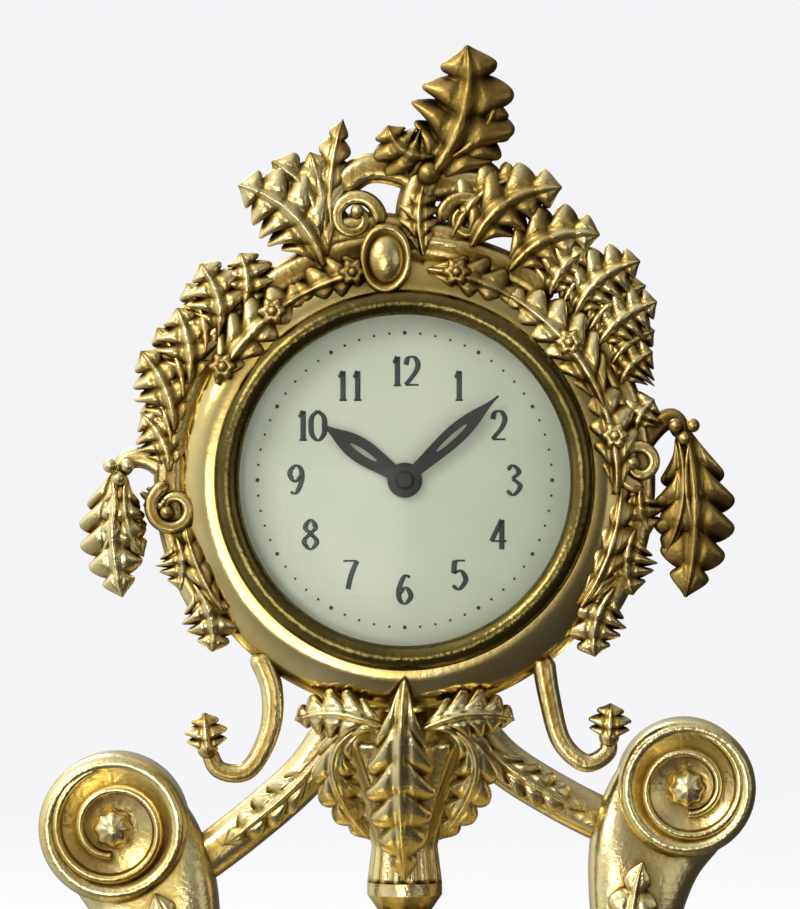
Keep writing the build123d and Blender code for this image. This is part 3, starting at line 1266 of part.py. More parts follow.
def set_knob():
    """Knurled hand-setting knob on the rear end of the centre arbor."""
    half_step = 180.0 / KNURL_COUNT
    points = []
    for a in around(KNURL_COUNT):
        points += [polar(KNOB_R, a), polar(KNOB_R - KNURL_DEPTH, a + half_step)]
    grip = prism(Polygon(*points, align=None), KNOB_Y + KNOB_NECK, KNOB_BACK)
    neck = rod(CENTRE, KNOB_NECK_R, KNOB_Y, KNOB_Y + KNOB_NECK + SHAKE)
    return joined([grip, neck]) - rod(CENTRE, CENTRE_ARBOR_R, KNOB_Y, KNOB_BACK - KNOB_CAP_T)


# Base and supports


def cartouche(width, depth, corner=PLINTH_CORNER, bow=PLINTH_BOW):
    """Plan outline with bowed sides and rounded corners."""
    hw, hd = width / 2, depth / 2
    long_x, long_y = hw - corner, hd - bow
    short_x, short_y = hw - bow, hd - corner
    swell = CORNER_SWELL * corner
    mid_x, mid_y = (long_x + short_x) / 2 + swell, (long_y + short_y) / 2 + swell
    return make_face(
        [
            ThreePointArc((-long_x, -long_y), (0, -hd), (long_x, -long_y)),
            ThreePointArc((long_x, -long_y), (mid_x, -mid_y), (short_x, -short_y)),
            ThreePointArc((short_x, -short_y), (hw, 0), (short_x, short_y)),
            ThreePointArc((short_x, short_y), (mid_x, mid_y), (long_x, long_y)),
            ThreePointArc((long_x, long_y), (0, hd), (-long_x, long_y)),
            ThreePointArc((-long_x, long_y), (-mid_x, mid_y), (-short_x, short_y)),
            ThreePointArc((-short_x, short_y), (-hw, 0), (-short_x, -short_y)),
            ThreePointArc((-short_x, -short_y), (-mid_x, -mid_y), (-long_x, -long_y)),
        ]
    )


def slab(sketch, z_low, z_high):
    return extrude(Pos(0, 0, z_low) * sketch, amount=z_high - z_low)


def board_screw_places():
    x, y = (POCKET_W + BOARD_LEDGE) / 2, (POCKET_D + BOARD_LEDGE) / 2
    return [(-x, 0.0), (x, 0.0), (0.0, -y), (0.0, y)]


def leg_screw_places():
    return [(side * LEG_FOOT_U, y) for side in (-1, 1) for y in (-LEG_T / 4, LEG_T / 4)]


def foot_places():
    x, y = PLINTH_W / 2 - FOOT_INSET_X, PLINTH_D / 2 - FOOT_INSET_Y
    return [(sx * x, sy * y) for sx in (-1, 1) for sy in (-1, 1)]


def base_plinth():
    """Hollow moulded base: rim, cove and deck."""
    rim = slab(cartouche(PLINTH_W, PLINTH_D), RIM_Z, COVE_Z)
    step, dip = 2 * MOULD_STEP, 2 * COVE_DIP
    levels = (
        (COVE_Z, PLINTH_W - step, PLINTH_D - step),
        (COVE_Z + COVE_LOW * COVE_H, (PLINTH_W + DECK_W) / 2 - dip, (PLINTH_D + DECK_D) / 2 - dip),
        (DECK_Z, DECK_W - step, DECK_D - step),
    )
    cove = loft([Pos(0, 0, z) * cartouche(width, depth) for z, width, depth in levels], ruled=True)
    deck = slab(cartouche(DECK_W, DECK_D), DECK_Z, DECK_TOP)
    body = joined([rim, cove, deck])
    body -= slab(cartouche(POCKET_W, POCKET_D, POCKET_CORNER), RIM_Z, DECK_Z)
    body -= slab(board_outline(0.0), RIM_Z, RIM_Z + BOARD_T)
    body -= post(0, 0, TIE_ROD_R + FIT, DECK_Z, DECK_TOP)
    for x, y in leg_screw_places():
        body -= post(x, y, LEG_SCREW_R + FIT, DECK_Z, DECK_TOP)
    for x, y in board_screw_places():
        body -= post(x, y, SCREW_R + FIT, RIM_Z, RIM_Z + BOARD_T + SCREW_GRIP + TIP_ROOM)
    for x, y in foot_places():
        body -= post(x, y, LEG_SCREW_R, RIM_Z, RIM_Z + SCREW_GRIP + TIP_ROOM)
    return body


def board_outline(clearance):
    grow = 2 * BOARD_LEDGE - 2 * clearance
    return cartouche(POCKET_W + grow, POCKET_D + grow, POCKET_CORNER)


def base_board():
    """Board that closes the underside."""
    body = slab(board_outline(SHAKE), RIM_Z, RIM_Z + BOARD_T)
    for x, y in board_screw_places():
        body -= post(x, y, SCREW_R + FIT, RIM_Z, RIM_Z + BOARD_T)
    return body


def upright_screw(x, y, radius, head_r, z_head, z_tip, head_t):
    """Screw along Z with its head below."""
    return joined([post(x, y, radius, z_head, z_tip), post(x, y, head_r, z_head - head_t, z_head)])


def board_screws():
    tip = RIM_Z + BOARD_T + SCREW_GRIP
    return [
        upright_screw(x, y, SCREW_R, SCREW_HEAD_R, RIM_Z, tip, SCREW_HEAD_T)
        for x, y in board_screw_places()
    ]


def base_feet():
    """Scroll feet, each turned out along its corner's diagonal."""
    bulb = Pos(FOOT_TOE, FOOT_R - FOOT_FLAT) * Circle(FOOT_R)
    neck = Polygon(*[(x, share * FOOT_H) for x, share in FOOT_NECK], align=None)
    shape = prism(bulb + neck, -FOOT_T / 2, FOOT_T / 2)
    shape &= Pos(0, 0, FOOT_H / 2) * Box(4 * FOOT_H, 4 * FOOT_H, FOOT_H)
    shape -= post(0, 0, LEG_SCREW_R, FOOT_H - FOOT_STUD_DROP - TIP_ROOM, FOOT_H)
    turned_out = [(x, y, math.degrees(math.atan2(y, x))) for x, y in foot_places()]
    return [Pos(x, y, FLOOR_Z) * Rot(0, 0, turn) * shape for x, y, turn in turned_out]


def foot_studs():
    """Headless studs between the feet and the rim."""
    return [post(x, y, LEG_SCREW_R, RIM_Z - FOOT_STUD_DROP, RIM_Z + SCREW_GRIP) for x, y in foot_places()]


def leg(side, volute):
    """Scroll leg: a waisted shaft that rolls outwards into a volute with a raised eye."""
    reach, height, radius = side * volute[0], volute[1], volute[2]
    eye = (reach, height)
    half = LEG_T / 2
    waist_z = DECK_TOP + LEG_WAIST_RISE
    inner_foot, outer_foot = LEG_FOOT_U - LEG_FOOT_W / 2, LEG_FOOT_U + LEG_FOOT_W / 2

    def by_eye(points):
        return [(reach + radius * x, height + radius * z) for x, z in points]

    inner = [(inner_foot, DECK_TOP), (inner_foot + LEG_WAIST_IN, waist_z), *by_eye(LEG_INNER_EDGE)]
    outer = [(outer_foot, DECK_TOP), (outer_foot - LEG_WAIST_OUT, waist_z), *by_eye(LEG_OUTER_EDGE)]
    ends = [Line(inner[-1], outer[-1]), Line(outer[0], inner[0])]
    shaft = make_face([Spline(*inner), ends[0], Spline(*outer), ends[1]])
    pad = Pos(LEG_FOOT_U, DECK_TOP + LEG_PAD) * Rectangle(LEG_FOOT_W + 2 * LEG_PAD, 2 * LEG_PAD)
    parts = [
        prism(shaft, -half, half),
        rod(eye, radius, -half, half),
        rod(eye, VOLUTE_EYE_R, -half - VOLUTE_EYE_RISE, half + VOLUTE_EYE_RISE),
        prism(pad, -half - LEG_PAD, half + LEG_PAD),
    ]
    body = joined(parts)
    r_in, r_out = VOLUTE_EYE_R + VOLUTE_GROOVE, radius - VOLUTE_GROOVE
    for face in (-half, half):
        front, back = face - VOLUTE_GROOVE, face + VOLUTE_GROOVE
        body -= spiral_ribbon(eye, r_in, r_out, VOLUTE_TURNS, VOLUTE_GROOVE, front, back, VOLUTE_START)
    for y in (-LEG_T / 4, LEG_T / 4):
        body -= post(LEG_FOOT_U, y, LEG_SCREW_R + FIT, DECK_TOP, DECK_TOP + LEG_SCREW_GRIP)
    return body if side > 0 else mirror(body, Plane.YZ)


def leg_screws():
    tip = DECK_TOP + LEG_SCREW_GRIP - TIP_ROOM
    return [
        upright_screw(x, y, LEG_SCREW_R, LEG_SCREW_HEAD_R, DECK_Z, tip, LEG_SCREW_HEAD_T)
        for x, y in leg_screw_places()
    ]


def centre_baluster():
    """Turned baluster between the deck and the pendant."""
    low, high = DECK_TOP, PENDANT_TIP_Z
    rise = high - low
    collar_z = low + BALUSTER_COLLAR_T
    foot = (BALUSTER_R - BALUSTER_STEP, collar_z + BALUSTER_BEVEL)
    neck = (BALUSTER_NECK_R, low + BALUSTER_NECK_AT * rise)
    waist = (BALUSTER_WAIST_R, low + BALUSTER_WAIST_AT * rise)
    belly = (BALUSTER_BELLY_R, low + BALUSTER_BELLY_AT * rise)
    cap_low = (PENDANT_TIP_R, high - BALUSTER_COLLAR_T)
    edges = [
        Polyline((0, low), (BALUSTER_R, low), (BALUSTER_R, collar_z), foot),
        Spline(foot, waist, belly, neck),
        Polyline(neck, cap_low, (PENDANT_TIP_R, high), (0, high), (0, low)),
    ]
    body = revolve(Plane.XZ * make_face(edges), axis=Axis.Z)
    return body - post(0, 0, TIE_ROD_R + FIT, low, high)


def tie_rod():
    low = DECK_Z - TIE_NUT_T - TIE_ROD_TAIL
    return post(0, 0, TIE_ROD_R, low, PENDANT_TIP_Z + TIE_ROD_GRIP - TIP_ROOM)


def tie_nut():
    nut = slab(RegularPolygon(TIE_NUT_R, 6), DECK_Z - TIE_NUT_T, DECK_Z)
    return nut - post(0, 0, TIE_ROD_R, DECK_Z - TIE_NUT_T, DECK_Z)


def pendant():
    """Leafy apron that cups the drum from below and narrows to the baluster."""
    core = loft(
        [Pos(0, y, -RING_R - share * PENDANT_DROP) * Ellipse(a, b) for share, y, a, b in PENDANT_LEVELS]
    )
    leaves = [apron_leaf(1, *PENDANT_MIDDLE_LEAF)]
    for side in (-1, 1):
        leaves += [apron_leaf(side, *one) for one in PENDANT_SIDE_LEAVES]
    body = joined([core, *leaves])
    body -= rod(CENTRE, DRUM_R, DRUM_FRONT_Y, DRUM_BACK_Y)
    body -= front_ring()
    body -= rod(CENTRE, RING_R - FIT, RING_EDGE_Y, RING_BACK_Y)
    body -= rod(CENTRE, DRUM_BORE_R + FIT, BEZEL_FRONT_Y - RING_COVER, DRUM_FRONT_Y)
    body -= post(0, 0, TIE_ROD_R + FIT, PENDANT_TIP_Z, PENDANT_TIP_Z + TIE_ROD_GRIP)
    for x in (-PENDANT_SCREW_X, PENDANT_SCREW_X):
        body -= post(x, 0, SCREW_R + FIT, -DRUM_R - 2 * SCREW_GRIP, -DRUM_BORE_R)
    return largest(body)


def below(x, drop, forward):
    """Point below the ring, by a share of the pendant's length, in front of the ring's edge."""
    return (x, RING_EDGE_Y - forward, -RING_R - drop * PENDANT_DROP)


def apron_leaf(side, spine, width):
    """Leaf on the apron, mirrored for the other side."""
    path = ThreePointArc(*[below(side * x, drop, forward) for x, drop, forward in spine])
    return frond(path, [width * share for share in LEAF_SHAPE], PENDANT_LEAF_FRONT, PENDANT_LEAF_BACK)


def pendant_screws():
    """Screws from inside the drum into the pendant."""
    found = []
    for x in (-PENDANT_SCREW_X, PENDANT_SCREW_X):
        seat = -math.sqrt(DRUM_BORE_R**2 - (abs(x) + SCREW_HEAD_R) ** 2)
        shank = post(x, 0, SCREW_R, -DRUM_R - SCREW_GRIP, seat)
        found.append(joined([shank, post(x, 0, SCREW_HEAD_R, seat, seat + SCREW_HEAD_T)]))
    return found


def arm(side, volute, neighbours):
    """Curved brace between the pendant and a leg, cut to seat on both."""
    reach, height, radius = side * volute[0], volute[1], volute[2]
    root = (ARM_ROOT_X, -RING_R - ARM_ROOT_AT * PENDANT_DROP)
    end = (reach - radius, height - ARC_SHARE * radius)
    span = (end[0] - root[0], end[1] - root[1])
    middle = [(root[0] + share * span[0] - x, root[1] + share * span[1] - z) for share, x, z in ARM_SAG]
    path = Spline(*[(side * x, 0.0, z) for x, z in (root, *middle, end)])
    body = frond(path, [ARM_W] * 8, LEAF_ROUNDNESS * ARM_W, LEAF_ROUNDNESS * ARM_W)
    for other in neighbours:
        body = body - other
    return largest(body)


def largest(shape):
    return shape.solids().sort_by(SortBy.VOLUME)[-1]


# Cast ornament


def mounting_boss(degrees):
    """Seat of an ornament screw on the front of the ring."""
    return rod(polar(ORNAMENT_SCREW_CIRCLE_R, degrees), BOSS_R, RING_FRONT_Y - BOSS_RISE, RING_EDGE_Y)


def seated(parts, screws):
    """Casting cut to sit on the ring, with its screw holes."""
    body = joined([*parts, *[mounting_boss(a) for a in screws]])
    body -= front_ring()
    body -= rod(CENTRE, RING_R - FIT, RING_EDGE_Y, RING_BACK_Y)
    body -= rod(CENTRE, DRUM_BORE_R + FIT, BEZEL_FRONT_Y - RING_COVER, DRUM_BACK_Y)
    for a in screws:
        place = polar(ORNAMENT_SCREW_CIRCLE_R, a)
        body -= rod(place, ORNAMENT_SCREW_R + FIT, RING_FRONT_Y - BOSS_RISE / 2, RING_BACK_Y)
    return largest(body)


def ornament_screws():
    """Screws from behind the ring into the castings' bosses."""
    tip_y = RING_FRONT_Y - BOSS_RISE / 3
    return [
        screw(polar(ORNAMENT_SCREW_CIRCLE_R, a), ORNAMENT_SCREW_R, SCREW_HEAD_R, RING_BACK_Y, tip_y)
        for a in LEFT_SCREWS + CREST_SCREWS + RIGHT_SCREWS
    ]


def spray(rim, overlays, leaves, screws):
    """Foliage along one side of the case."""
    parts = [rim_stem(*rim)]
    parts += [overlay_leaf(*one) for one in overlays]
    parts += [rim_leaf(*one) for one in leaves]
    return seated(parts, screws)


def crest():
    """Pierced cresting over the dial, with an oval boss in its middle."""
    parts = [rim_stem(*CREST_STEM)]
    parts += [leaf(crown(*root), crown(*tip), *rest) for root, tip, *rest in CREST_LEAVES]
    parts += [stem([crown(*point) for point in points], *widths) for points, *widths in CREST_STEMS]
    return seated(parts, CREST_SCREWS)


def finial():
    """Curled leaf that stands on the crest's middle stem."""

    def seat(x, rise, forward):
        return crown(x, FINIAL_SEAT + rise, forward)

    parts = [leaf(seat(*root), seat(*tip), *rest) for root, tip, *rest in FINIAL_LEAVES]
    above = Pos(0, RELIEF_Y, RING_R + FINIAL_SEAT + RING_R) * Box(2 * RING_R, 2 * RING_R, 2 * RING_R)
    return largest(joined(parts) & above)


def drop(side, hook, root, tip, width):
    """Hanging leaf cluster on a hooked stem that springs from the rim."""
    parts = [
        stem([beside(side, *p) for p in hook], DROP_STEM_W, DROP_STEM_END_W),
        leaf(beside(side, *root), beside(side, *tip), DROP_BOW * side, width, BOLD_FRONT),
    ]
    for turn in (-1, 1):
        start = beside(side, root[0] + LOBE_ROOT[0] * turn, root[1] + LOBE_ROOT[1], LOBE_ROOT[2])
        end = beside(side, tip[0] + LOBE_TIP[0] * turn, tip[1] + LOBE_TIP[1], LOBE_TIP[2])
        parts.append(leaf(start, end, -LOBE_BOW * side * turn, LOBE_SHARE * width))
    return joined(parts)


def tendril(side, points, bud):
    """Curling tendril that leaves the rim below the dial and ends in a bud."""
    path = [relief((side * x, -RING_R - z)) for x, z in points]
    tip = relief((side * bud[0], -RING_R - bud[1]))
    tip_leaf = leaf(path[-1], tip, 0.0, BUD_W, BUD_FRONT, BUD_BACK)
    return joined([stem(path, TENDRIL_W, TENDRIL_END_W), tip_leaf])


def write(nodes):
    """One STEP file for each piece, or group of alike pieces, lifted to stand on the floor."""
    os.makedirs("parts", exist_ok=True)
    lift = Pos(0, 0, DIAL_HEIGHT)
    for name, shape in nodes.items():
        solids = shape if isinstance(shape, list) else [shape]
        found = [lift * solid for whole in solids for solid in whole.solids()]
        export_step(found[0] if len(found) == 1 else Compound(found), f"parts/{name}.step")


def main():
    left_leg, right_leg = leg(-1, LEFT_VOLUTE), leg(1, RIGHT_VOLUTE)
    apron = pendant()
    sprays = [
        spray(LEFT_STEM, LEFT_OVERLAYS, LEFT_LEAVES, LEFT_SCREWS),
        spray(RIGHT_STEM, RIGHT_OVERLAYS, RIGHT_LEAVES, RIGHT_SCREWS),
    ]
    cresting = crest()
    for other in sprays:
        cresting = largest(cresting - other)
    top = largest(finial() - cresting)
    ring = front_ring()
    drops = [drop(-1, *LEFT_DROP), drop(1, *RIGHT_DROP)]
    tendrils = [tendril(-1, LEFT_TENDRIL, LEFT_BUD), tendril(1, RIGHT_TENDRIL, RIGHT_BUD)]
    disc = rod(CENTRE, RING_R, RING_FRONT_Y, RING_BACK_Y)
    hung = [largest(piece - other - disc - apron) for piece, other in zip(drops + tendrils, sprays * 2)]
    write(
        {
            "base_plinth": base_plinth(),
            "base_board": base_board(),
            "base_feet": base_feet(),
            "base_screws": board_screws() + foot_studs() + leg_screws(),
            "left_leg": left_leg,
            "right_leg": right_leg,
            "centre_baluster": centre_baluster(),
            "tie_rod": tie_rod(),
            "tie_nut": tie_nut(),
            "pendant": apron,
            "case_screws": pendant_screws() + ornament_screws(),
            "left_arm": arm(-1, LEFT_VOLUTE, (apron, left_leg)),
            "right_arm": arm(1, RIGHT_VOLUTE, (apron, right_leg)),
            "left_spray": sprays[0],
            "right_spray": sprays[1],
            "crest": cresting,
            "finial": top,
            "left_drop": hung[0],
            "right_drop": hung[1],
            "left_tendril": hung[2],
            "right_tendril": hung[3],
            "drum_case": drum_case(),
            "front_ring": ring,
            "bezel": bezel(),
            "glass": glass(),
            "dial_slip": dial_slip(),
            "dial": dial(),
            "back_door": back_door(),
            "door_knob": door_knob(),
            "hinge_pin": hinge_pin(),
            "front_plate": front_plate(),
            "back_plate": back_plate(),
            "pillars": pillars(),
            "movement_screws": plate_screws() + movement_screws() + [cock_screw()],
            "barrel": barrel(),
            "barrel_cover": barrel_cover(),
            "mainspring": mainspring(),
            "barrel_arbor": barrel_arbor(),
            "ratchet_wheel": ratchet_wheel(),
            "click": click(),
            "click_spring": click_spring(),
            "winding_key": winding_key(),
            "intermediate_wheel": intermediate_wheel(),
            "centre_wheel": centre_wheel(),
            "third_wheel": third_wheel(),
            "fourth_wheel": fourth_wheel(),
            "escape_wheel": escape_wheel(),
            "pallet_lever": pallet_lever(),
            "balance_wheel": balance_wheel(),
            "balance_cock": balance_cock(),
            "hairspring": hairspring(),
            "regulator": regulator(),
            "centre_arbor": centre_arbor(),
            "set_knob": set_knob(),
            "cannon_pinion": cannon_pinion(),
            "minute_wheel": minute_wheel(),
            "hour_wheel": hour_wheel(),
            "hour_hand": hour_hand(),
            "minute_hand": minute_hand(),
            "hand_nut": hand_nut(),
        }
    )


if __name__ == "__main__":
    main()
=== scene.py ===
import math

import bmesh
import bpy
import numpy as np
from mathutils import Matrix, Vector


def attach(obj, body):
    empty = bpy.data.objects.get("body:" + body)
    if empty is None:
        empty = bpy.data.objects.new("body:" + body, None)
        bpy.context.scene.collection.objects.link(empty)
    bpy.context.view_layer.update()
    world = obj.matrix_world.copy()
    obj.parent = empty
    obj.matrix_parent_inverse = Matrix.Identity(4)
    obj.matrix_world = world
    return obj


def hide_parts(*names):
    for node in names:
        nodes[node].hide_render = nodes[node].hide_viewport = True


# Looks of the gilt-bronze table clock. Shapes are drawn in millimetres about the dial's centre,
# as the solids are, and turned into metres above the floor when a piece is made.

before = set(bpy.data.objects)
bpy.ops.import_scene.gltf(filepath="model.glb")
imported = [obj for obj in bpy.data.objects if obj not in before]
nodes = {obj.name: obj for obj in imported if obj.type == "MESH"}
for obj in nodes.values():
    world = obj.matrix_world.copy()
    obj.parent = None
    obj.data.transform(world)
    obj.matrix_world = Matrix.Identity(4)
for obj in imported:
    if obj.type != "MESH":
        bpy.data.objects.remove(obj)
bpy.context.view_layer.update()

MM = 0.001

# Sizes and places of the case in millimetres, the same as the solids'
DIAL_HEIGHT = 168.0
FLOOR = -DIAL_HEIGHT
DECK_TOP = -136.0
RING_R = 49.0
RELIEF_Y = -18.5
SCREW_CIRCLE_R = 45.0
LEFT_SCREWS = (148, 128)
CREST_SCREWS = (104, 76)
RIGHT_SCREWS = (40, 12)
DIAL_R = 36.4
DIAL_FACE_Y = -19.8
DIAL_CROWN = 1.2

# Stems along the ring: angles of both ends, with their width
STEM_R = 49.5
STEM_W = 7.0
STEM_END_W = 6.0
LEFT_STEM = (216, 130)
RIGHT_STEM = (-36, 50)
CREST_STEM = (129, 51)

# Leaves that lie along the ring: radius past the usual one, both angles, rise, width, lobes and curl
OVERLAY_R = 44.5
LEFT_OVERLAYS = (
    (0.0, 153, 116, 2.5, 13.5, 5, 1.0),
    (2.6, 216, 190, 1.6, 7.0, 4, 0.0),
)
RIGHT_OVERLAYS = (
    (0.0, -4, 31, 2.5, 12.0, 5, 1.0),
    (0.0, 20, 63, 2.8, 14.0, 6, 1.0),
    (1.0, -36, 2, 1.8, 9.5, 5, 0.0),
)
CREST_OVERLAYS = (
    (0.0, 97, 122, 2.4, 11.0, 4, 1.0),
    (0.0, 84, 56, 2.4, 11.0, 4, 1.0),
)

# Leaves that grow out from the ring: angles of root and tip, reach, bow, width, rise and lobes
LEFT_LEAVES = (
    (206, 221.6, 5.2, 0.12, 13.0, 0.0, 4),
    (194, 206, 3.6, 0.10, 12.0, 0.0, 4),
    (184, 188, 4.0, -0.06, 11.0, 0.0, 3),
    (178, 166, 8.0, -0.12, 12.5, 0.0, 4),
    (172, 160, 9.0, -0.10, 11.0, -1.8, 4),
    (168, 154, 12.7, -0.10, 14.5, 0.0, 4),
    (160, 148.5, 12.0, -0.10, 12.0, -1.8, 4),
    (156, 143, 11.0, -0.08, 15.5, 0.0, 4),
    (148, 138, 12.6, -0.10, 12.0, -1.8, 4),
    (142, 133.4, 13.6, -0.12, 14.0, 2.0, 4),
    (133, 126, 10.0, -0.10, 13.5, 1.0, 4),
)
RIGHT_LEAVES = (
    (52, 52, 12.5, 0.10, 14.5, 1.0, 4),
    (48, 47.5, 14.0, 0.10, 12.0, -1.8, 4),
    (44, 42.9, 18.6, 0.14, 14.5, 1.5, 5),
    (39, 39, 16.0, 0.10, 12.0, -1.8, 4),
    (35, 35.3, 15.9, 0.10, 14.5, 0.0, 5),
    (29, 31, 12.0, 0.10, 12.0, -1.8, 4),
    (24, 27.4, 9.6, 0.12, 13.5, 0.0, 4),
    (12, 18, 6.0, 0.10, 12.0, 0.0, 3),
    (-2, -12, 3.8, -0.10, 11.0, 0.0, 3),
    (-12, -26.6, 4.7, -0.12, 13.5, 0.0, 4),
    (-27, -42.8, 5.5, -0.12, 13.5, 0.0, 4),
)

# Scrolls: place, then radius, first angle, turns, width and rise
SCROLL_END_R = 1.6
SCROLL_END_W = 2.0
LEFT_SCROLL = ((49.0, 187), (5.2, 100, 1.3, 3.2, 2.8))
RIGHT_SCROLL = ((49.5, 4), (5.0, -80, -1.3, 3.2, 2.8))
CREST_SCROLLS = (
    ((-10.5, 6.0), 5.4, -20, 1.25, 3.4, 2.2),
    ((13.0, 6.0), 5.2, 190, -1.25, 3.4, 2.2),
)

# Crest and finial leaves: root and tip (across, above the ring, forward), bow, width, lobes, front and curl
CREST_LEAVES = (
    ((-17, -4, 1), (-35, 13, 2), -0.14, 18.0, 5, 3.8, 2.0),
    ((-19, -2), (-28, 18, 1), -0.20, 16.0, 4, 3.2, 1.5),
    ((-17, -1), (-20, 20, 0.5), -0.06, 13.0, 4, 3.2, 1.2),
    ((-15, 1), (-13, 27), 0.06, 9.0, 5, 3.2, 0.0),
    ((10, 2), (25, 15, 0.5), 0.14, 15.0, 4, 3.2, 1.2),
    ((14, 0, 1), (33, 12.5, 1), 0.16, 16.0, 4, 3.8, 2.0),
    ((22, -5, 1), (41, 2.5, 1.5), 0.16, 15.0, 4, 3.2, 1.5),
)
CREST_MIDDLE_LEAF = ((4, -2, 2.2), (4.6, 15, 1.4), 0.08, 9.0, 5, 2.6, 0.0)
FINIAL_LEAF_THICK = 2.6
FINIAL_LEAVES = (
    ((4.6, 14), (13, 42.4, 1.5), -0.12, 23.0, 4, 4.4, 2.5, FINIAL_LEAF_THICK),
    ((6, 19, 0.5), (-3.6, 25.6, 3), 0.22, 13.0, 4, 3.6, 1.5),
    ((7.5, 18, 0.2), (19.4, 31, 1), -0.14, 13.0, 4, 3.6, 1.5),
)
FINIAL_BERRY = (5.0, 15.5, 3.4)
FINIAL_BERRY_R = 2.6

# Crest stems: points (across, above the ring), steps, width and end width
CREST_STEMS = (
    (((-14.5, 12), (-8, 16.5), (0, 15.5), (5, 11)), 50, 6.4, None),
    (((-24, 0.5), (-9, 4), (5, 2.5), (14, 1)), 50, 7.0, None),
    (((4, -2), (2, 7), (5, 17)), 40, 8.0, None),
    (((4, 12.5), (14, 13.6), (24, 9)), 40, 7.0, 6.0),
)

# Oval boss: across, above the ring, half width and half height, with its rim in shares of the half width
CREST_BOSS = (-4.0, -2.6, 5.4, 7.4)
BOSS_RIM = ((0.05, -21.0), (1.0, -21.2), (1.0, -25.0), (0.92, -25.9), (0.8, -25.6), (0.72, -24.4))
BOSS_RISE = 2.2

# Flower over a screw: radius and depth
ROSETTE = ((0.05, -22.0), (3.0, -22.6), (3.1, -24.6), (2.2, -26.0), (1.1, -25.6), (0.05, -25.5))
ROSETTE_EYE_Y = -25.7

# Hanging leaves: hook, root and tip (out from the ring, up), and the leaf's width
LEFT_DROP = (((-3, -2), (4, 4), (9, 4.4), (11, 1)), (11, 3), (10.4, -24.6), 12.5)
RIGHT_DROP = (((-3, 0), (2, 9), (7, 13), (10, 9)), (9.6, 11.5), (10, -24.6), 15.0)
DROP_STEM_W = 5.0
DROP_STEM_END_W = 4.2
DROP_BERRIES = ((-1.8, 0.0), (1.8, 0.0), (0.0, -2.6))
DROP_BERRY_R = 1.5
DROP_BERRY_RISE = 4.6

# Tendrils: points of the stem (across, below the ring), then the bud's tip
LEFT_TENDRIL = (((31, -13), (28, -5), (28.5, 4), (33, 12), (39, 12), (41.5, 7.5)), (42.2, 0))
RIGHT_TENDRIL = (((29, -12), (30.5, -3), (33, 6), (38, 10.5), (42.5, 8.5), (43, 5)), (43.4, -2))
TENDRIL_W = 5.0
TENDRIL_END_W = 3.6
BUD_W = 9.6
BUD_BERRY_R = 2.2

# Pendant: height, depth and both half widths at each level, then leaves (across, share of drop, forward)
PENDANT_DROP = 37.0
PENDANT_Y = -17.5
PENDANT_FLUTES = 14
PENDANT_LEVELS = (
    (-42.5, 0.0, 18.0, 11.5),
    (-49.0, 0.0, 19.0, 11.5),
    (-56.0, -4.5, 16.5, 15.5),
    (-67.1, -2.0, 10.5, 11.0),
    (-77.9, 0.0, 7.0, 7.0),
    (-86.0, 0.0, 8.0, 8.0),
)
PENDANT_FRONT_LEAF = (((0, -0.2, 8), (-1, 0.3, 4), (0, 0.95, -9.5)), 15.0, 6, 4.0, 1.5)
PENDANT_SIDE_LEAVES = (
    (((4, 0.08, 5), (14, 0, 4), (23, 0.04, 0)), 11.0, 5, 3.6),
    (((7, 0.05, 3), (15, 0.3, -0.5), (7.5, 0.74, -10.5)), 10.0, 5, 3.2),
)

# Arms: bends hold a share of the run, then a shift across and up
ARM_ROOT_X = 14.0
ARM_ROOT_DROP = 0.1
ARM_END_DROP = 0.6
ARM_BENDS = ((0.3, -2.0, -1.5), (0.65, -1.0, -1.5))
ARM_W = 9.6
ARM_LEAF_W = 9.0
ARM_LEAF_LIFT = 3.6

# Volutes: across, up and radius, and the lean in degrees from the top where the band leaves the rim
LEFT_VOLUTE = (-62.0, -74.0, 15.8)
RIGHT_VOLUTE = (60.0, -65.5, 14.6)
VOLUTE_DEEP = 10.0
VOLUTE_TURNS = 1.6
VOLUTE_LEAN = 38

# Legs: edges above the deck, then in shares of the volute's radius from its centre
LEG_INNER_FOOT = ((36, 0), (41, 18))
LEG_INNER_NECK = ((-1.42, -1.1), (-1.16, -0.05), (-0.62, 0.78))
LEG_OUTER_FOOT = ((56, 0), (52.5, 18))
LEG_OUTER_NECK = ((0.04, -1.6), (0.55, -0.83))
LEG_DEEP = 9.4
LEG_NECK_CUT = 2.8
LEG_LEAF_W = 17.0
LEG_LEAF_LIFT = 8.6
PAD_X = 46.0
PAD_HALF = 12.0
PAD_H = 4

# Base: each twisted moulding has its width, depth, radius, height and pitch
ROPES = ((157.0, 89.0, 2.1, 17.0, 4.4), (129.0, 61.0, 1.6, 31.4, 3.6))
COVE = ((-31.5, 32.6), (-38.0, 24.5), (-45.4, 19.4))
COVE_LEAF_W = 22.0
BELLY = ((-5.6, 12), (-12.0, 28), (-6.2, 43))
BELLY_LEAF_W = 9.5
BELLY_LEAVES = 6
FOOT_X = 61.0
FOOT_Y = 29.0
FOOT_R = 6.9
FOOT_DEEP = 7.0
FOOT_OUT = 2.0
FOOT_START = 100
FOOT_TURNS = 1.5
FOOT_NECK_X = -1.0
FOOT_NECK_LEVELS = (6.0, 14.0)
FOOT_NECK_HALF = (4.0, 8.5)
FOOT_NECK_DEEP = 6.6

# Dial marks
NUMBER_H = 6.2
NUMBER_W = 3.6
NUMBER_R = 22.9
MINUTE_R = 31.0
HOUR_DOT_R = 0.42
MINUTE_DOT_R = 0.26
INK_FRONT = -0.07
INK_BACK = 0.05

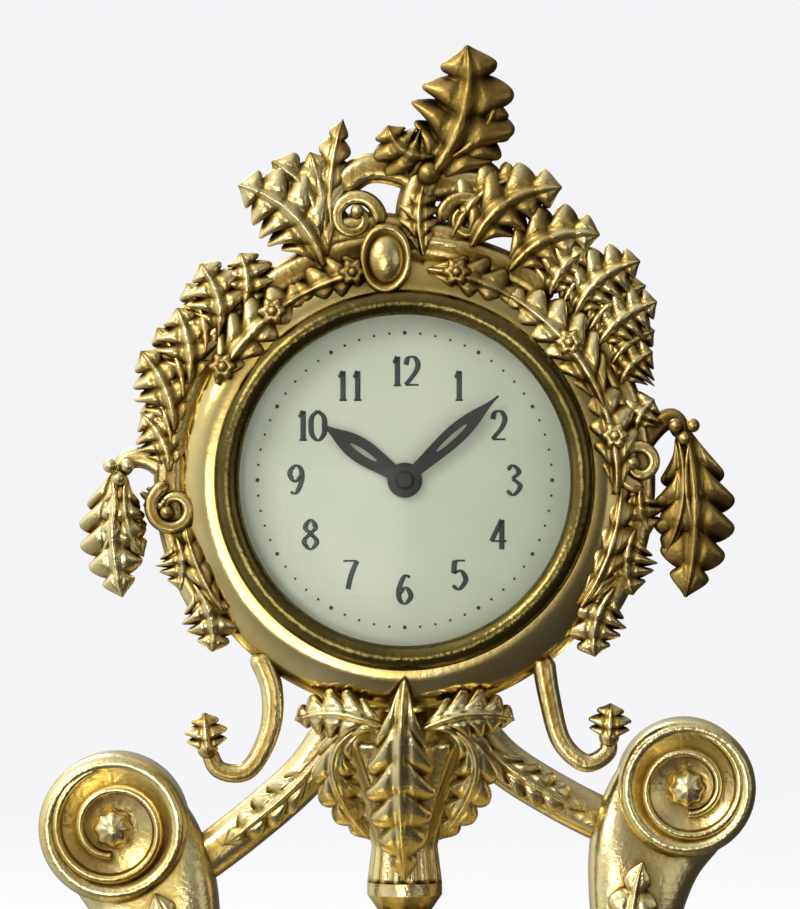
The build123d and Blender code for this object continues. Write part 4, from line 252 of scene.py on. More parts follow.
# Stage and camera in metres, lamps in watts: name, place, aim, size, power and colour
STAGE_R = 2.4
STAGE_BEND = 1.2
STAGE_TOP = 3.2
STAGE_TONES = ((0.3, (0.20, 0.20, 0.204)), (0.7, (0.21, 0.21, 0.214)))
STAGE_GLOW = (0.87, 0.87, 0.89, 1.0)
SKY_SEEN = (0.87, 0.87, 0.88, 1.0)
SKY_TONES = (
    (0.0, (0.02, 0.018, 0.015)),
    (0.35, (0.10, 0.095, 0.085)),
    (0.6, (0.55, 0.54, 0.52)),
    (1.0, (1.6, 1.58, 1.5)),
)
LAMPS = (
    ("key", (-0.75, -0.95, 0.8), (0, 0, 0.17), 0.5, 7.4, (1.0, 0.97, 0.91)),
    ("low", (-0.2, -1.15, 0.0), (0, 0, 0.09), 0.4, 2.2, (1.0, 0.97, 0.91)),
    ("fill", (0.9, -0.9, 0.3), (0, 0, 0.12), 0.7, 0.9, (1.0, 0.95, 0.88)),
    ("rim", (-0.4, 0.8, 0.9), (0, 0, 0.2), 0.5, 5.0, (1.0, 1.0, 1.0)),
)
CAMERA_LENS = 226.0
CAMERA_SENSOR = 36.0
CAMERA_PLACE = (-0.001, -1.22, 0.1734)


# Shapes: each one is a list of points, faces and a tone for each point: how worn it is, with painted light
# and shade added to some pieces later


def curve(points, count):
    """Smooth path through points, evenly spaced."""
    p = np.asarray(points, float)
    ends = np.vstack([2 * p[0] - p[1], p, 2 * p[-1] - p[-2]])
    t = np.linspace(0, 1, 40, endpoint=False)[:, None]
    found = []
    for a, b, c, d in zip(ends, ends[1:], ends[2:], ends[3:]):
        found.append(b + 0.5 * t * (c - a + t * (2 * a - 5 * b + 4 * c - d + t * (3 * b - a - 3 * c + d))))
    return even(np.vstack([*found, p[-1:]]), count)


def even(path, count):
    """Path through the same places with evenly spaced points."""
    steps = np.linalg.norm(np.diff(path, axis=0), axis=1)
    travelled = np.concatenate([[0], np.cumsum(steps)])
    wanted = np.linspace(0, travelled[-1], count)
    return np.stack([np.interp(wanted, travelled, path[:, k]) for k in range(3)], axis=1)


def bowed(start, tip, bow, count=61):
    """Arc from a root to a tip, its middle off the straight line by a share of its length."""
    a, b = np.asarray(start, float), np.asarray(tip, float)
    span = b - a
    middle = (a + b) / 2 + np.array([-span[2], 0, span[0]]) * bow
    return bent(a, middle, b, count)


def bent(a, middle, b, count=61):
    """Curve from a to b that passes through a middle point."""
    a, middle, b = (np.asarray(p, float) for p in (a, middle, b))
    pull = 2 * middle - (a + b) / 2
    t = np.linspace(0, 1, count)[:, None]
    return even((1 - t) ** 2 * a + 2 * t * (1 - t) * pull + t**2 * b, count)


def spiral(centre, r_start, r_end, start, turns, y, count=90):
    """Flat spiral about a centre, its first angle in degrees."""
    angle = np.radians(start + 360 * turns * np.linspace(0, 1, count))
    radius = np.linspace(r_start, r_end, count)
    return np.stack(
        [centre[0] + radius * np.cos(angle), np.full(count, y), centre[1] + radius * np.sin(angle)], axis=1
    )


def directions(path):
    """Along, across and out of the page at each point of a path."""
    along = np.gradient(path, axis=0)
    along /= np.linalg.norm(along, axis=1)[:, None]
    across = np.stack([-along[:, 2], np.zeros(len(path)), along[:, 0]], axis=1)
    across /= np.maximum(np.linalg.norm(across, axis=1), 1e-6)[:, None]
    return along, across, np.cross(along, across)


def at(values, share):
    """Rows of values at places between 0 and 1."""
    known = np.linspace(0, 1, len(values))
    return np.stack([np.interp(share, known, values[:, k]) for k in range(3)], axis=-1)


def grid_faces(rows, cols, first=0, closed=False):
    """Four-sided faces of a grid of points, closed across its columns if asked."""
    faces = []
    for i in range(rows - 1):
        low = first + i * cols
        high = low + cols
        for j in range(cols if closed else cols - 1):
            k = (j + 1) % cols
            faces.append((low + j, low + k, high + k, high + j))
    return faces


def plate(front, back, wear):
    """Closed sheet between a front grid and a back grid."""
    rows, cols, _ = front.shape
    size = rows * cols
    faces = grid_faces(rows, cols) + [f[::-1] for f in grid_faces(rows, cols, size)]
    index = np.arange(size).reshape(rows, cols)
    rim = [*index[0], *index[1:, -1], *index[-1, -2::-1], *index[-2:0:-1, 0]]
    for a, b in zip(rim, rim[1:] + rim[:1]):
        faces.append((int(b), int(a), int(a) + size, int(b) + size))
    points = np.concatenate([front.reshape(-1, 3), back.reshape(-1, 3)])
    worn = np.concatenate([wear.ravel(), 0.55 * wear.ravel()])
    return points, faces, worn


def rings(loops, wear):
    """Closed skin through loops of points, with both ends capped."""
    count, sides, _ = loops.shape
    points = np.concatenate([loops.reshape(-1, 3), loops[:1].mean(1), loops[-1:].mean(1)])
    faces = grid_faces(count, sides, closed=True)
    low, high = count * sides, count * sides + 1
    last = (count - 1) * sides
    for j in range(sides):
        k = (j + 1) % sides
        faces.append((low, k, j))
        faces.append((high, last + j, last + k))
    return points, faces, np.concatenate([wear.ravel(), wear[0, :1], wear[-1, :1]])


LEAF_REACH = (0.0, 0.2, 0.42, 0.65, 0.85, 1.0)
LEAF_SHARE = (0.55, 0.9, 1.0, 0.82, 0.52, 0.05)


def acanthus(path, width, lobes=4, front=3.2, notch=0.46, lean=0.2, thick=1.5, curl=0.0, cols=25):
    """Leaf with rounded lobes along both edges, a hollow behind each notch, and a raised midrib."""
    share = np.linspace(0, 1, lobes * 12 + 1)
    t, u = np.meshgrid(share, np.linspace(-1, 1, cols), indexing="ij")
    side = np.abs(u)
    fullness = np.interp(t, LEAF_REACH, LEAF_SHARE)
    lobe = np.abs(np.sin(np.pi * lobes * t)) ** 0.7
    half = width / 2 * fullness * (1 - notch * (1 - lobe) * side)
    place = np.clip(t + lean * side**1.3 * (1 - t), 0, 1)
    _, across, out = directions(path)
    rise = front * fullness**0.7 * (1 - 0.85 * side**2.2)
    rise += 0.13 * width * fullness * (lobe - 0.55) * side**0.7
    rise += 0.09 * width * np.exp(-((u / 0.11) ** 2)) * (1 - 0.7 * t)
    rise -= 0.05 * width * np.exp(-(((side - 0.24) / 0.1) ** 2)) * (1 - t)
    rise += curl * np.clip((place - 0.6) / 0.4, 0, 1) ** 2
    base = at(path, place) + at(across, place) * (u * half)[..., None]
    normal = at(out, place)
    surface = base + normal * rise[..., None]
    back = base + normal * (rise - thick * (1.15 - 0.5 * side))[..., None]
    wear = 0.30 + 0.55 * lobe * side**0.6 + 0.45 * np.exp(-((u / 0.13) ** 2)) - 0.35 * (1 - lobe) * side
    return plate(surface, back, np.clip(wear, 0, 1))


def stalk(path, width, end_width=None, front=0.5, groove=0.22, sides=18):
    """Rounded stem with a groove along its front, closed by round ends."""
    count = len(path)
    share = np.linspace(0, 1, count)
    half = (width + ((end_width or width) - width) * share) / 2
    length = np.linalg.norm(np.diff(path, axis=0), axis=1).sum()
    from_end = np.minimum(share, 1 - share) * length
    half = half * np.sqrt(np.clip(1 - (1 - np.clip(from_end / half, 0, 1)) ** 2, 0.002, 1))
    _, across, out = directions(path)
    angle = np.linspace(0, 2 * np.pi, sides, endpoint=False)
    shape = 1 - groove * np.exp(-(((angle - np.pi / 2) / 0.34) ** 2))
    sideways = half[:, None] * np.cos(angle)
    forward = 2 * front * half[:, None] * np.sin(angle) * shape
    loops = path[:, None] + across[:, None] * sideways[..., None] + out[:, None] * forward[..., None]
    wear = 0.45 + 0.4 * np.exp(-(((np.abs(angle - np.pi / 2) - 0.6) / 0.45) ** 2)) - 0.3 * (shape < 0.9)
    return rings(loops, np.clip(np.broadcast_to(wear, (count, sides)), 0, 1).copy())


def signed_power(values, power):
    return np.sign(values) * np.abs(values) ** power


def bar(centres, across, deep, power=0.5, sides=36):
    """Bar of rounded rectangular section: across holds half a width as a vector, deep half a depth."""
    angle = np.linspace(0, 2 * np.pi, sides, endpoint=False)
    deep = np.broadcast_to(np.asarray(deep, float), (len(centres),))
    loops = centres[:, None] + across[:, None] * signed_power(np.cos(angle), power)[None, :, None]
    loops = loops + np.array([0, 1, 0]) * (deep[:, None] * signed_power(np.sin(angle), power))[..., None]
    edge = np.abs(np.sin(2 * angle)) ** 2
    return rings(loops, np.broadcast_to(0.42 + 0.5 * edge, loops.shape[:2]).copy())


def turned(profile, centre, sides=40, lobes=0, lobe_depth=0.0):
    """Round piece about a front-to-back axis: the profile holds radius and depth."""
    angle = np.linspace(0, 2 * np.pi, sides, endpoint=False)
    scale = 1 - lobe_depth * (0.5 - 0.5 * np.cos(lobes * angle)) if lobes else np.ones(sides)
    radius, depth = np.array(profile).T
    reach = radius[:, None] * scale
    x = centre[0] + reach * np.cos(angle)
    z = centre[1] + reach * np.sin(angle)
    loops = np.stack([x, np.broadcast_to(depth[:, None], x.shape), z], axis=-1)
    wear = np.full(loops.shape[:2], 0.6) + 0.2 * (scale - scale.mean())
    return rings(loops, wear)


def bead(centre, radius):
    """Small round berry."""
    steps = np.linspace(-0.98, 0.98, 9)
    profile = [(radius * math.sqrt(1 - s * s), centre[1] - radius * s) for s in steps]
    return turned(profile, (centre[0], centre[2]), sides=14)


def moved(shape, x=0.0, y=0.0, turn=0.0):
    """Shape turned about the vertical, then shifted."""
    points, faces, wear = shape
    c, s = math.cos(math.radians(turn)), math.sin(math.radians(turn))
    across = c * points[:, 0] - s * points[:, 1]
    along = s * points[:, 0] + c * points[:, 1]
    spun = np.stack([across, along, points[:, 2]], axis=1)
    return spun + np.array([x, y, 0.0]), faces, wear


def piece(name, shapes, material, body="case", stands_for=()):
    """One named piece made from shapes, riding on a body and standing for CAD nodes."""
    points, faces, wear, first = [], [], [], 0
    for p, f, w in shapes:
        points.append(p)
        faces += [tuple(first + k for k in face) for face in f]
        wear.append(w)
        first += len(p)
    points = (np.vstack(points) + np.array([0, 0, DIAL_HEIGHT])) * MM
    mesh = bpy.data.meshes.new(name)
    mesh.from_pydata(points.tolist(), [], faces)
    # Each point's tone: its wear, with painted light and shade on some pieces.
    layer = mesh.attributes.new("wear", "FLOAT", "POINT")
    layer.data.foreach_set("value", np.concatenate(wear).astype(np.float32))
    skin = bmesh.new()
    skin.from_mesh(mesh)
    bmesh.ops.recalc_face_normals(skin, faces=skin.faces)
    skin.to_mesh(mesh)
    skin.free()
    mesh.shade_smooth()
    mesh.materials.append(material)
    made = bpy.data.objects.new(name, mesh)
    bpy.context.scene.collection.objects.link(made)
    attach(made, body)
    if stands_for:
        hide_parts(*stands_for)
    return made


# Materials


def shader(name):
    material = bpy.data.materials.new(name)
    material.use_nodes = True
    tree = material.node_tree
    tree.nodes.clear()
    out = tree.nodes.new("ShaderNodeOutputMaterial")
    surface = tree.nodes.new("ShaderNodeBsdfPrincipled")
    tree.links.new(surface.outputs["BSDF"], out.inputs["Surface"])
    where = tree.nodes.new("ShaderNodeTexCoord")
    return material, tree, surface, where.outputs["Object"]


def noise(tree, where, scale, detail=4.0, stretch=None):
    if stretch:
        mapping = tree.nodes.new("ShaderNodeMapping")
        mapping.inputs["Scale"].default_value = stretch
        tree.links.new(where, mapping.inputs["Vector"])
        where = mapping.outputs["Vector"]
    node = tree.nodes.new("ShaderNodeTexNoise")
    node.inputs["Scale"].default_value = scale
    node.inputs["Detail"].default_value = detail
    tree.links.new(where, node.inputs["Vector"])
    return node.outputs["Fac"]


def ramp(tree, factor, stops):
    node = tree.nodes.new("ShaderNodeValToRGB")
    elements = node.color_ramp.elements
    while len(elements) < len(stops):
        elements.new(1.0)
    for element, (place, colour) in zip(elements, stops):
        element.position = place
        element.color = (*colour, 1.0)
    tree.links.new(factor, node.inputs["Fac"])
    return node.outputs["Color"]


def spread(tree, factor, low, high, floor=0.0, top=1.0):
    node = tree.nodes.new("ShaderNodeMapRange")
    node.inputs["From Min"].default_value = floor
    node.inputs["From Max"].default_value = top
    node.inputs["To Min"].default_value = low
    node.inputs["To Max"].default_value = high
    tree.links.new(factor, node.inputs["Value"])
    return node.outputs["Result"]


def combine(tree, operation, first, second):
    node = tree.nodes.new("ShaderNodeMath")
    node.operation = operation
    for socket, value in zip(node.inputs, (first, second)):
        if isinstance(value, (int, float)):
            socket.default_value = value
        else:
            tree.links.new(value, socket)
    return node.outputs["Value"]


def bump(tree, surface, height, strength, distance):
    node = tree.nodes.new("ShaderNodeBump")
    node.inputs["Strength"].default_value = strength
    node.inputs["Distance"].default_value = distance
    tree.links.new(height, node.inputs["Height"])
    tree.links.new(node.outputs["Normal"], surface.inputs["Normal"])


def metal(name, tones, rough, grain, worn=False, crevice=0.006, patch=60.0, stretch=None, dents=0.35):
    """Metal that is dark in its hollows and, when worn, bright where the wear attribute is high: worn
    gilding, with painted light and shade on some pieces.
    """
    material, tree, surface, where = shader(name)
    blotch = noise(tree, where, patch, stretch=stretch)
    shade = spread(tree, blotch, -0.22, 0.22, 0.3, 0.7)
    hollow = tree.nodes.new("ShaderNodeAmbientOcclusion")
    hollow.samples = 6
    hollow.inputs["Distance"].default_value = crevice
    open_air = spread(tree, hollow.outputs["AO"], -0.25, 0.3, 0.3, 1.0)
    shade = combine(tree, "ADD", shade, open_air)
    if worn:
        # The wear attribute holds worn gilding and, on some pieces, painted light and shade.
        wear = tree.nodes.new("ShaderNodeAttribute")
        wear.attribute_name = "wear"
        shade = combine(tree, "ADD", shade, wear.outputs["Fac"])
    else:
        shade = combine(tree, "ADD", shade, 0.55)
    tree.links.new(ramp(tree, shade, tones), surface.inputs["Base Color"])
    surface.inputs["Metallic"].default_value = 1.0
    tree.links.new(spread(tree, shade, rough[1], rough[0], 0.1, 0.9), surface.inputs["Roughness"])
    fine = noise(tree, where, grain, 3.0, stretch)
    bump(tree, surface, fine, dents, 0.0004)
    return material


ORMOLU = (
    (0.0, (0.024, 0.014, 0.003)),
    (0.3, (0.12, 0.072, 0.016)),
    (0.55, (0.36, 0.235, 0.06)),
    (0.8, (0.66, 0.49, 0.17)),
    (1.0, (0.88, 0.76, 0.40)),
)
POLISHED = (
    (0.0, (0.10, 0.065, 0.015)),
    (0.4, (0.44, 0.31, 0.085)),
    (0.8, (0.68, 0.54, 0.21)),
    (1.0, (0.82, 0.70, 0.36)),
)
# Near-black gilt for the bezel and dial slip: partly darker patina, partly painted shade and a painted dark
# reflection for the shadowed ring round the dial.
DARK_AND_SHADED_GILT = ((0.0, (0.012, 0.010, 0.002)), (0.5, (0.055, 0.046, 0.012)), (1.0, (0.20, 0.16, 0.05)))
BRASS = ((0.0, (0.25, 0.16, 0.05)), (0.5, (0.66, 0.46, 0.17)), (1.0, (0.86, 0.68, 0.33)))
STEEL = ((0.0, (0.16, 0.17, 0.19)), (0.5, (0.42, 0.44, 0.47)), (1.0, (0.68, 0.70, 0.73)))
BRUSHED = (1.0, 1.0, 9.0)
DRAWN = (1.0, 1.0, 6.0)

gilt = metal("gilt_bronze", ORMOLU, (0.26, 0.56), 900.0, worn=True)
plain_gilt = metal("gilt_bronze_plain", ORMOLU, (0.26, 0.52), 900.0)
polished = metal("polished_gilt", POLISHED, (0.14, 0.34), 500.0, crevice=0.004, patch=40.0, dents=0.07)
# Bezel and dial slip metal: its dark colour is partly patina, partly painted shade and painted dark
# reflection.
dark_and_shaded_gilt = metal("dark_and_shaded_gilt", DARK_AND_SHADED_GILT, (0.22, 0.45), 700.0, crevice=0.003)
brass = metal("movement_brass", BRASS, (0.2, 0.38), 260.0, crevice=0.002, patch=120.0, stretch=BRUSHED)
steel = metal("steel", STEEL, (0.16, 0.34), 500.0, crevice=0.002, patch=160.0, stretch=DRAWN)


def coated(name, tones, rough, patch, grain, coat=0.0, stretch=None):
    """Non-metal with mottled colour and a fine surface."""
    material, tree, surface, where = shader(name)
    tree.links.new(ramp(tree, noise(tree, where, patch, 5.0, stretch), tones), surface.inputs["Base Color"])
    surface.inputs["Roughness"].default_value = rough
    surface.inputs["Coat Weight"].default_value = coat
    surface.inputs["Coat Roughness"].default_value = 0.08
    bump(tree, surface, noise(tree, where, grain, 3.0, stretch), 0.12, 0.0003)
    return material


ENAMEL = ((0.35, (0.47, 0.53, 0.38)), (0.65, (0.57, 0.62, 0.47)))
BLACK = ((0.3, (0.006, 0.007, 0.006)), (0.7, (0.022, 0.024, 0.02)))
INK = ((0.3, (0.020, 0.030, 0.030)), (0.7, (0.045, 0.060, 0.058)))
BOARD = ((0.3, (0.10, 0.055, 0.025)), (0.7, (0.20, 0.115, 0.05)))
GLASS_TINT = ((0.3, (0.02, 0.025, 0.02)), (0.7, (0.03, 0.035, 0.03)))

enamel = coated("enamel", ENAMEL, 0.32, 26.0, 300.0, coat=0.3)
black = coated("black_hands", BLACK, 0.38, 90.0, 900.0)
ink = coated("dial_ink", INK, 0.45, 140.0, 900.0)
board = coated("board", BOARD, 0.6, 60.0, 500.0, stretch=(1.0, 14.0, 1.0))


def clear_glass():
    material, tree, surface, where = shader("glass")
    tree.links.new(ramp(tree, noise(tree, where, 30.0), GLASS_TINT), surface.inputs["Base Color"])
    surface.inputs["Roughness"].default_value = 0.03
    surface.inputs["Alpha"].default_value = 0.06
    surface.inputs["Specular IOR Level"].default_value = 0.6
    return material


glass = clear_glass()

CAD_LOOKS = {
    polished: ("front_ring", "drum_case", "back_door", "door_knob", "hinge_pin", "set_knob"),
    dark_and_shaded_gilt: ("bezel", "dial_slip"),
    plain_gilt: ("base_plinth", "centre_baluster"),
    enamel: ("dial",),
    glass: ("glass",),
    black: ("hour_hand", "minute_hand", "hand_nut"),
    board: ("base_board",),
    steel: (
        "tie_rod",
        "tie_nut",
        "case_screws",
        "base_screws",
        "movement_screws",
        "mainspring",
        "barrel_arbor",
        "ratchet_wheel",
        "click",
        "click_spring",
        "winding_key",
        "pallet_lever",
        "hairspring",
        "centre_arbor",
        "cannon_pinion",
        "escape_wheel",
    ),
}
dressed = {name for names in CAD_LOOKS.values() for name in names}
CAD_LOOKS[brass] = tuple(sorted(set(nodes) - dressed))
for look, names in CAD_LOOKS.items():
    for name in names:
        nodes[name].data.materials.clear()
        nodes[name].data.materials.append(look)


# Ornament round the dial


def polar(radius, degrees):
    a = math.radians(degrees)
    return radius * math.cos(a), radius * math.sin(a)


def relief(point, rise=0.0):
    """Place on the front of the ornament, raised towards the viewer."""
    return np.array([point[0], RELIEF_Y - rise, point[1]])


def crown(x, rise, forward=0.0):
    """Place above the ring's top."""
    return relief((x, RING_R + rise), forward)


def beside(side, reach, height, forward=0.0):
    """Place out from one side of the ring."""
    return relief((side * (RING_R + reach), height), forward)


def rim_path(radius, start, end, rise=0.0, count=80):
    return np.array([relief(polar(radius, a), rise) for a in np.linspace(start, end, count)])


def rim_leaf(root, tip, reach, bow, width, rise, lobes):
    """Leaf that grows out from the stem on the ring's edge."""
    start, end = polar(STEM_R, root), polar(RING_R + reach, tip)
    return acanthus(bowed(relief(start, 0.7), relief(end, rise), bow), width, lobes, curl=1.6)


def rim_overlay(past, start, end, rise, width, lobes, curl):
    """Leaf that lies along the ring."""
    return acanthus(rim_path(OVERLAY_R + past, start, end, rise), width, lobes, curl=curl)


def crown_leaf(root, tip, bow, width, lobes, front, curl, thick=1.5):
    path = bowed(crown(*root), crown(*tip), bow)
    return acanthus(path, width, lobes, front=front, curl=curl, thick=thick)


def crown_stem(points, steps, width, end_width):
    return stalk(curve([crown(*p) for p in points], steps), width, end_width)


def scroll(centre, radius, start, turns, width, rise):
    """Curled scroll with a berry for its eye."""
    path = spiral(centre, radius, SCROLL_END_R, start, turns, RELIEF_Y - rise)
    eye = path[-1] + np.array([0, -0.6, 0])
    return [stalk(path, width, SCROLL_END_W), bead(eye, 0.75 * SCROLL_END_W)]


def rosette(degrees):
    """Six-petalled flower over an ornament screw."""
    x, z = polar(SCREW_CIRCLE_R, degrees)
    petals = turned(ROSETTE, (x, z), sides=48, lobes=6, lobe_depth=0.3)
    return [petals, bead((x, ROSETTE_EYE_Y, z), 1.0)]


def rosettes(angles):
    return [shape for a in angles for shape in rosette(a)]


def cabochon(x, z, across, tall):
    """Oval boss in a raised rim."""
    edge, depth = BOSS_RIM[-1]
    dome = [((edge - 0.02) * math.cos(a), depth - BOSS_RISE * math.sin(a)) for a in np.linspace(0, 1.54, 8)]
    profile = [(across * r, y) for r, y in (*BOSS_RIM, *dome)]
    points, faces, wear = turned(profile, (0.0, 0.0), sides=56)
    return points * np.array([1.0, 1.0, tall / across]) + np.array([x, 0.0, z]), faces, wear


def spray(stem, overlays, leaves, curl_at, curl, screws):
    """Stem along one side of the ring with its leaves, a scroll and flowers over the screws."""
    return [
        stalk(rim_path(STEM_R, *stem), STEM_W, STEM_END_W),
        *[rim_overlay(*leaf) for leaf in overlays],
        *[rim_leaf(*leaf) for leaf in leaves],
        *scroll(polar(*curl_at), *curl),
        *rosettes(screws),
    ]


def crest():
    """Pierced crown of leaves, stems and scrolls round an oval boss."""
    shapes = [stalk(rim_path(STEM_R, *CREST_STEM), STEM_W)]
    shapes += [rim_overlay(*leaf) for leaf in CREST_OVERLAYS]
    shapes += [crown_leaf(*leaf) for leaf in CREST_LEAVES]
    shapes += [crown_stem(*stem) for stem in CREST_STEMS]
    shapes.append(crown_leaf(*CREST_MIDDLE_LEAF))
    for (x, rise), *curl in CREST_SCROLLS:
        shapes += scroll((x, RING_R + rise), *curl)
    x, rise, across, tall = CREST_BOSS
    shapes.append(cabochon(x, RING_R + rise, across, tall))
    return shapes + rosettes(CREST_SCREWS)


def finial():
    return [*[crown_leaf(*leaf) for leaf in FINIAL_LEAVES], bead(crown(*FINIAL_BERRY), FINIAL_BERRY_R)]


def drop(side, hook, root, tip, width):
    """Hanging leaf on a hooked stem, with a smaller leaf at each side and berries at its root."""
    middle = bowed(beside(side, *root), beside(side, *tip), 0.06 * side)
    shapes = [
        stalk(curve([beside(side, *p) for p in hook], 50), DROP_STEM_W, DROP_STEM_END_W),
        acanthus(middle, 1.2 * width, 5, front=3.8, curl=1.5),
    ]
    for turn in (-1, 1):
        start = beside(side, root[0] + 1.5 * turn, root[1] - 2.0, 1.5)
        end = beside(side, tip[0] + 4.5 * turn, tip[1] + 8.5, 1.0)
        shapes.append(acanthus(bowed(start, end, -0.1 * side * turn), 0.62 * width, 4))
    for across, up in DROP_BERRIES:
        shapes.append(bead(beside(side, root[0] + across, root[1] + up, DROP_BERRY_RISE), DROP_BERRY_R))
    return shapes


def tendril(side, points, bud):
    """Hooked stem below the ring, with a bud that sits on a berry at its end."""
    path = [relief((side * x, -RING_R - z)) for x, z in points]
    tip = relief((side * bud[0], -RING_R - bud[1]))
    root = path[-1] - 0.2 * (tip - path[-1])
    return [
        stalk(curve(path, 70), TENDRIL_W, TENDRIL_END_W),
        acanthus(bowed(root, tip, 0.0), BUD_W, 3, front=2.8),
        bead(path[-1] - np.array([0, 0.8, 0]), BUD_BERRY_R),
    ]


def rubbed(shapes, share, lift=0.0):
    """Shapes whose wear is scaled to a share of its usual amount, plus a lift: painted light and shade that
    makes a whole piece lighter or darker, as if it were lit more or less.
    """
    return [(points, faces, np.clip(share * wear + lift, 0, 1)) for points, faces, wear in shapes]


# Painted light and shade in the wear tones: the left drop is painted lighter, as the light falls from the
# left, while the right drop and the finial are painted darker, as in shade, and the crest a little darker.
for name, shapes in {
    "left_spray": spray(LEFT_STEM, LEFT_OVERLAYS, LEFT_LEAVES, *LEFT_SCROLL, LEFT_SCREWS),
    "right_spray": spray(RIGHT_STEM, RIGHT_OVERLAYS, RIGHT_LEAVES, *RIGHT_SCROLL, RIGHT_SCREWS),
    "crest": rubbed(crest(), 0.85),
    "finial": rubbed(finial(), 0.5),
    "left_drop": rubbed(drop(-1, *LEFT_DROP), 1.0, 0.3),
    "right_drop": rubbed(drop(1, *RIGHT_DROP), 0.5),
    "left_tendril": tendril(-1, *LEFT_TENDRIL),
    "right_tendril": tendril(1, *RIGHT_TENDRIL),
}.items():
    piece("cast_" + name, shapes, gilt, stands_for=(name,))


# Pendant, arms and legs


def below(x, share, forward):
    """Place on the pendant, a share of its drop below the ring."""
    return np.array([x, PENDANT_Y - forward, -RING_R - share * PENDANT_DROP])


def pendant_core():
    """Fluted oval stem."""
    levels = np.array(PENDANT_LEVELS)
    heights = np.linspace(levels[0, 0], levels[-1, 0], 40)
    y, a, b = (np.interp(-heights, -levels[:, 0], levels[:, k]) for k in (1, 2, 3))
    angle = np.linspace(0, 2 * np.pi, 72, endpoint=False)
    flute = 0.94 + 0.06 * np.cos(PENDANT_FLUTES * angle)
    loops = np.stack(
        [
            a[:, None] * np.cos(angle) * flute,
            y[:, None] + b[:, None] * np.sin(angle) * flute,
            np.repeat(heights[:, None], len(angle), axis=1),
        ],
        axis=-1,
    )
    wear = np.broadcast_to(0.25 + 0.45 * (flute - 0.88) / 0.12, loops.shape[:2])
    return rings(loops, wear.copy())


def pendant_leaf(side, places, width, lobes, front, curl=0.0):
    path = bent(*[below(side * x, share, forward) for x, share, forward in places])
    return acanthus(path, width, lobes, front=front, curl=curl)


def pendant():
    shapes = [pendant_core(), pendant_leaf(1, *PENDANT_FRONT_LEAF)]
    return shapes + [pendant_leaf(side, *leaf) for side in (-1, 1) for leaf in PENDANT_SIDE_LEAVES]


def arm(side, scroll_at):
    """Curved arm from the pendant to a leg's volute, with a leaf along its front."""
    reach, height, radius = side * scroll_at[0], scroll_at[1], scroll_at[2]
    root = (ARM_ROOT_X, -RING_R - ARM_ROOT_DROP * PENDANT_DROP)
    end = (reach - radius, height - ARM_END_DROP * radius)
    run, fall = end[0] - root[0], end[1] - root[1]
    bends = [(root[0] + share * run + x, root[1] + share * fall + z) for share, x, z in ARM_BENDS]
    path = curve([(side * x, 0.0, z) for x, z in (root, *bends, end)], 60)
    leaf_path = path[8:48] + np.array([0, -ARM_LEAF_LIFT, 0])
    return [stalk(path, ARM_W, front=0.48, groove=0.15), acanthus(leaf_path, ARM_LEAF_W, 5, front=2.4)]


def volute(centre, radius, deep, start, turns):
    """Rolled end: a disc with a raised rim, a band that curls in from the rim, and an eye on each face."""
    wide = 0.25 * radius
    front = [
        (0.05, -deep + 0.57 * wide),
        (radius - wide, -deep + 0.57 * wide),
        (radius - 0.8 * wide, -deep + 0.15 * wide),
        (radius - 0.5 * wide, -deep),
        (radius - 0.2 * wide, -deep + 0.12 * wide),
        (radius, -deep + 0.5 * wide),
    ]
    disc = turned(front + [(r, -y) for r, y in front[::-1]], centre, sides=64)
    path = spiral(centre, radius - 0.5 * wide, 0.36 * radius, start, turns, 0.0, 150)
    across = directions(path)[1]
    share = np.linspace(0, 1, len(path))
    grown = np.clip(share / 0.15, 0, 1)
    half = wide * (0.42 - 0.12 * share) * (0.5 + 0.5 * grown)
    band = bar(path, across * half[:, None], deep - wide * (0.2 - 0.14 * grown), power=0.6)
    eye, low, high = 0.27 * radius, -deep + 0.3 * wide, 0.7 * wide
    dome = [(eye * math.cos(a), low - high * math.sin(a)) for a in np.linspace(0, 1.52, 9)]
    back = [(r, -y) for r, y in dome]
    return [disc, band, turned(dome[::-1] + back, centre, lobes=8, lobe_depth=0.14)]


def leg_edge(foot, neck, centre, radius):
    """Edge of a leg: points above the deck, then points in shares of the volute's radius."""
    low = [(x, 0, DECK_TOP + z) for x, z in foot]
    high = [(centre[0] + radius * x, 0, centre[1] + radius * z) for x, z in neck]
    return curve(low + high, 60)


def leg(side, scroll_at):
    """Leg with a volute at its top, a pad on the deck and a leaf on both faces."""
    centre, radius = (side * scroll_at[0], scroll_at[1]), scroll_at[2]
    inner = leg_edge(LEG_INNER_FOOT, LEG_INNER_NECK, centre, radius)
    outer = leg_edge(LEG_OUTER_FOOT, LEG_OUTER_NECK, centre, radius)
    flip = np.array([side, 1, 1])
    middle = (inner + outer) / 2 * flip
    share = np.linspace(0, 1, len(middle))
    deep = LEG_DEEP - LEG_NECK_CUT * np.clip((share - 0.66) / 0.2, 0, 1) ** 2
    shapes = [bar(middle, (outer - inner) / 2 * flip, deep, power=0.55)]
    start = 90 + VOLUTE_LEAN * side
    shapes += volute(scroll_at[:2], radius, VOLUTE_DEEP, start, -VOLUTE_TURNS * side)
    pad = np.array([(PAD_X * side, 0, z) for z in np.linspace(DECK_TOP, DECK_TOP + PAD_H, 6)])
    shapes.append(bar(pad, np.tile([PAD_HALF, 0, 0], (6, 1)), PAD_HALF, power=0.3))
    blade = acanthus(middle[4:46] + np.array([0, -LEG_LEAF_LIFT, 0]), LEG_LEAF_W, 7, front=2.4, curl=2.2)
    points, faces, wear = blade
    return [*shapes, blade, (points * np.array([1, -1, 1]), faces, wear)]


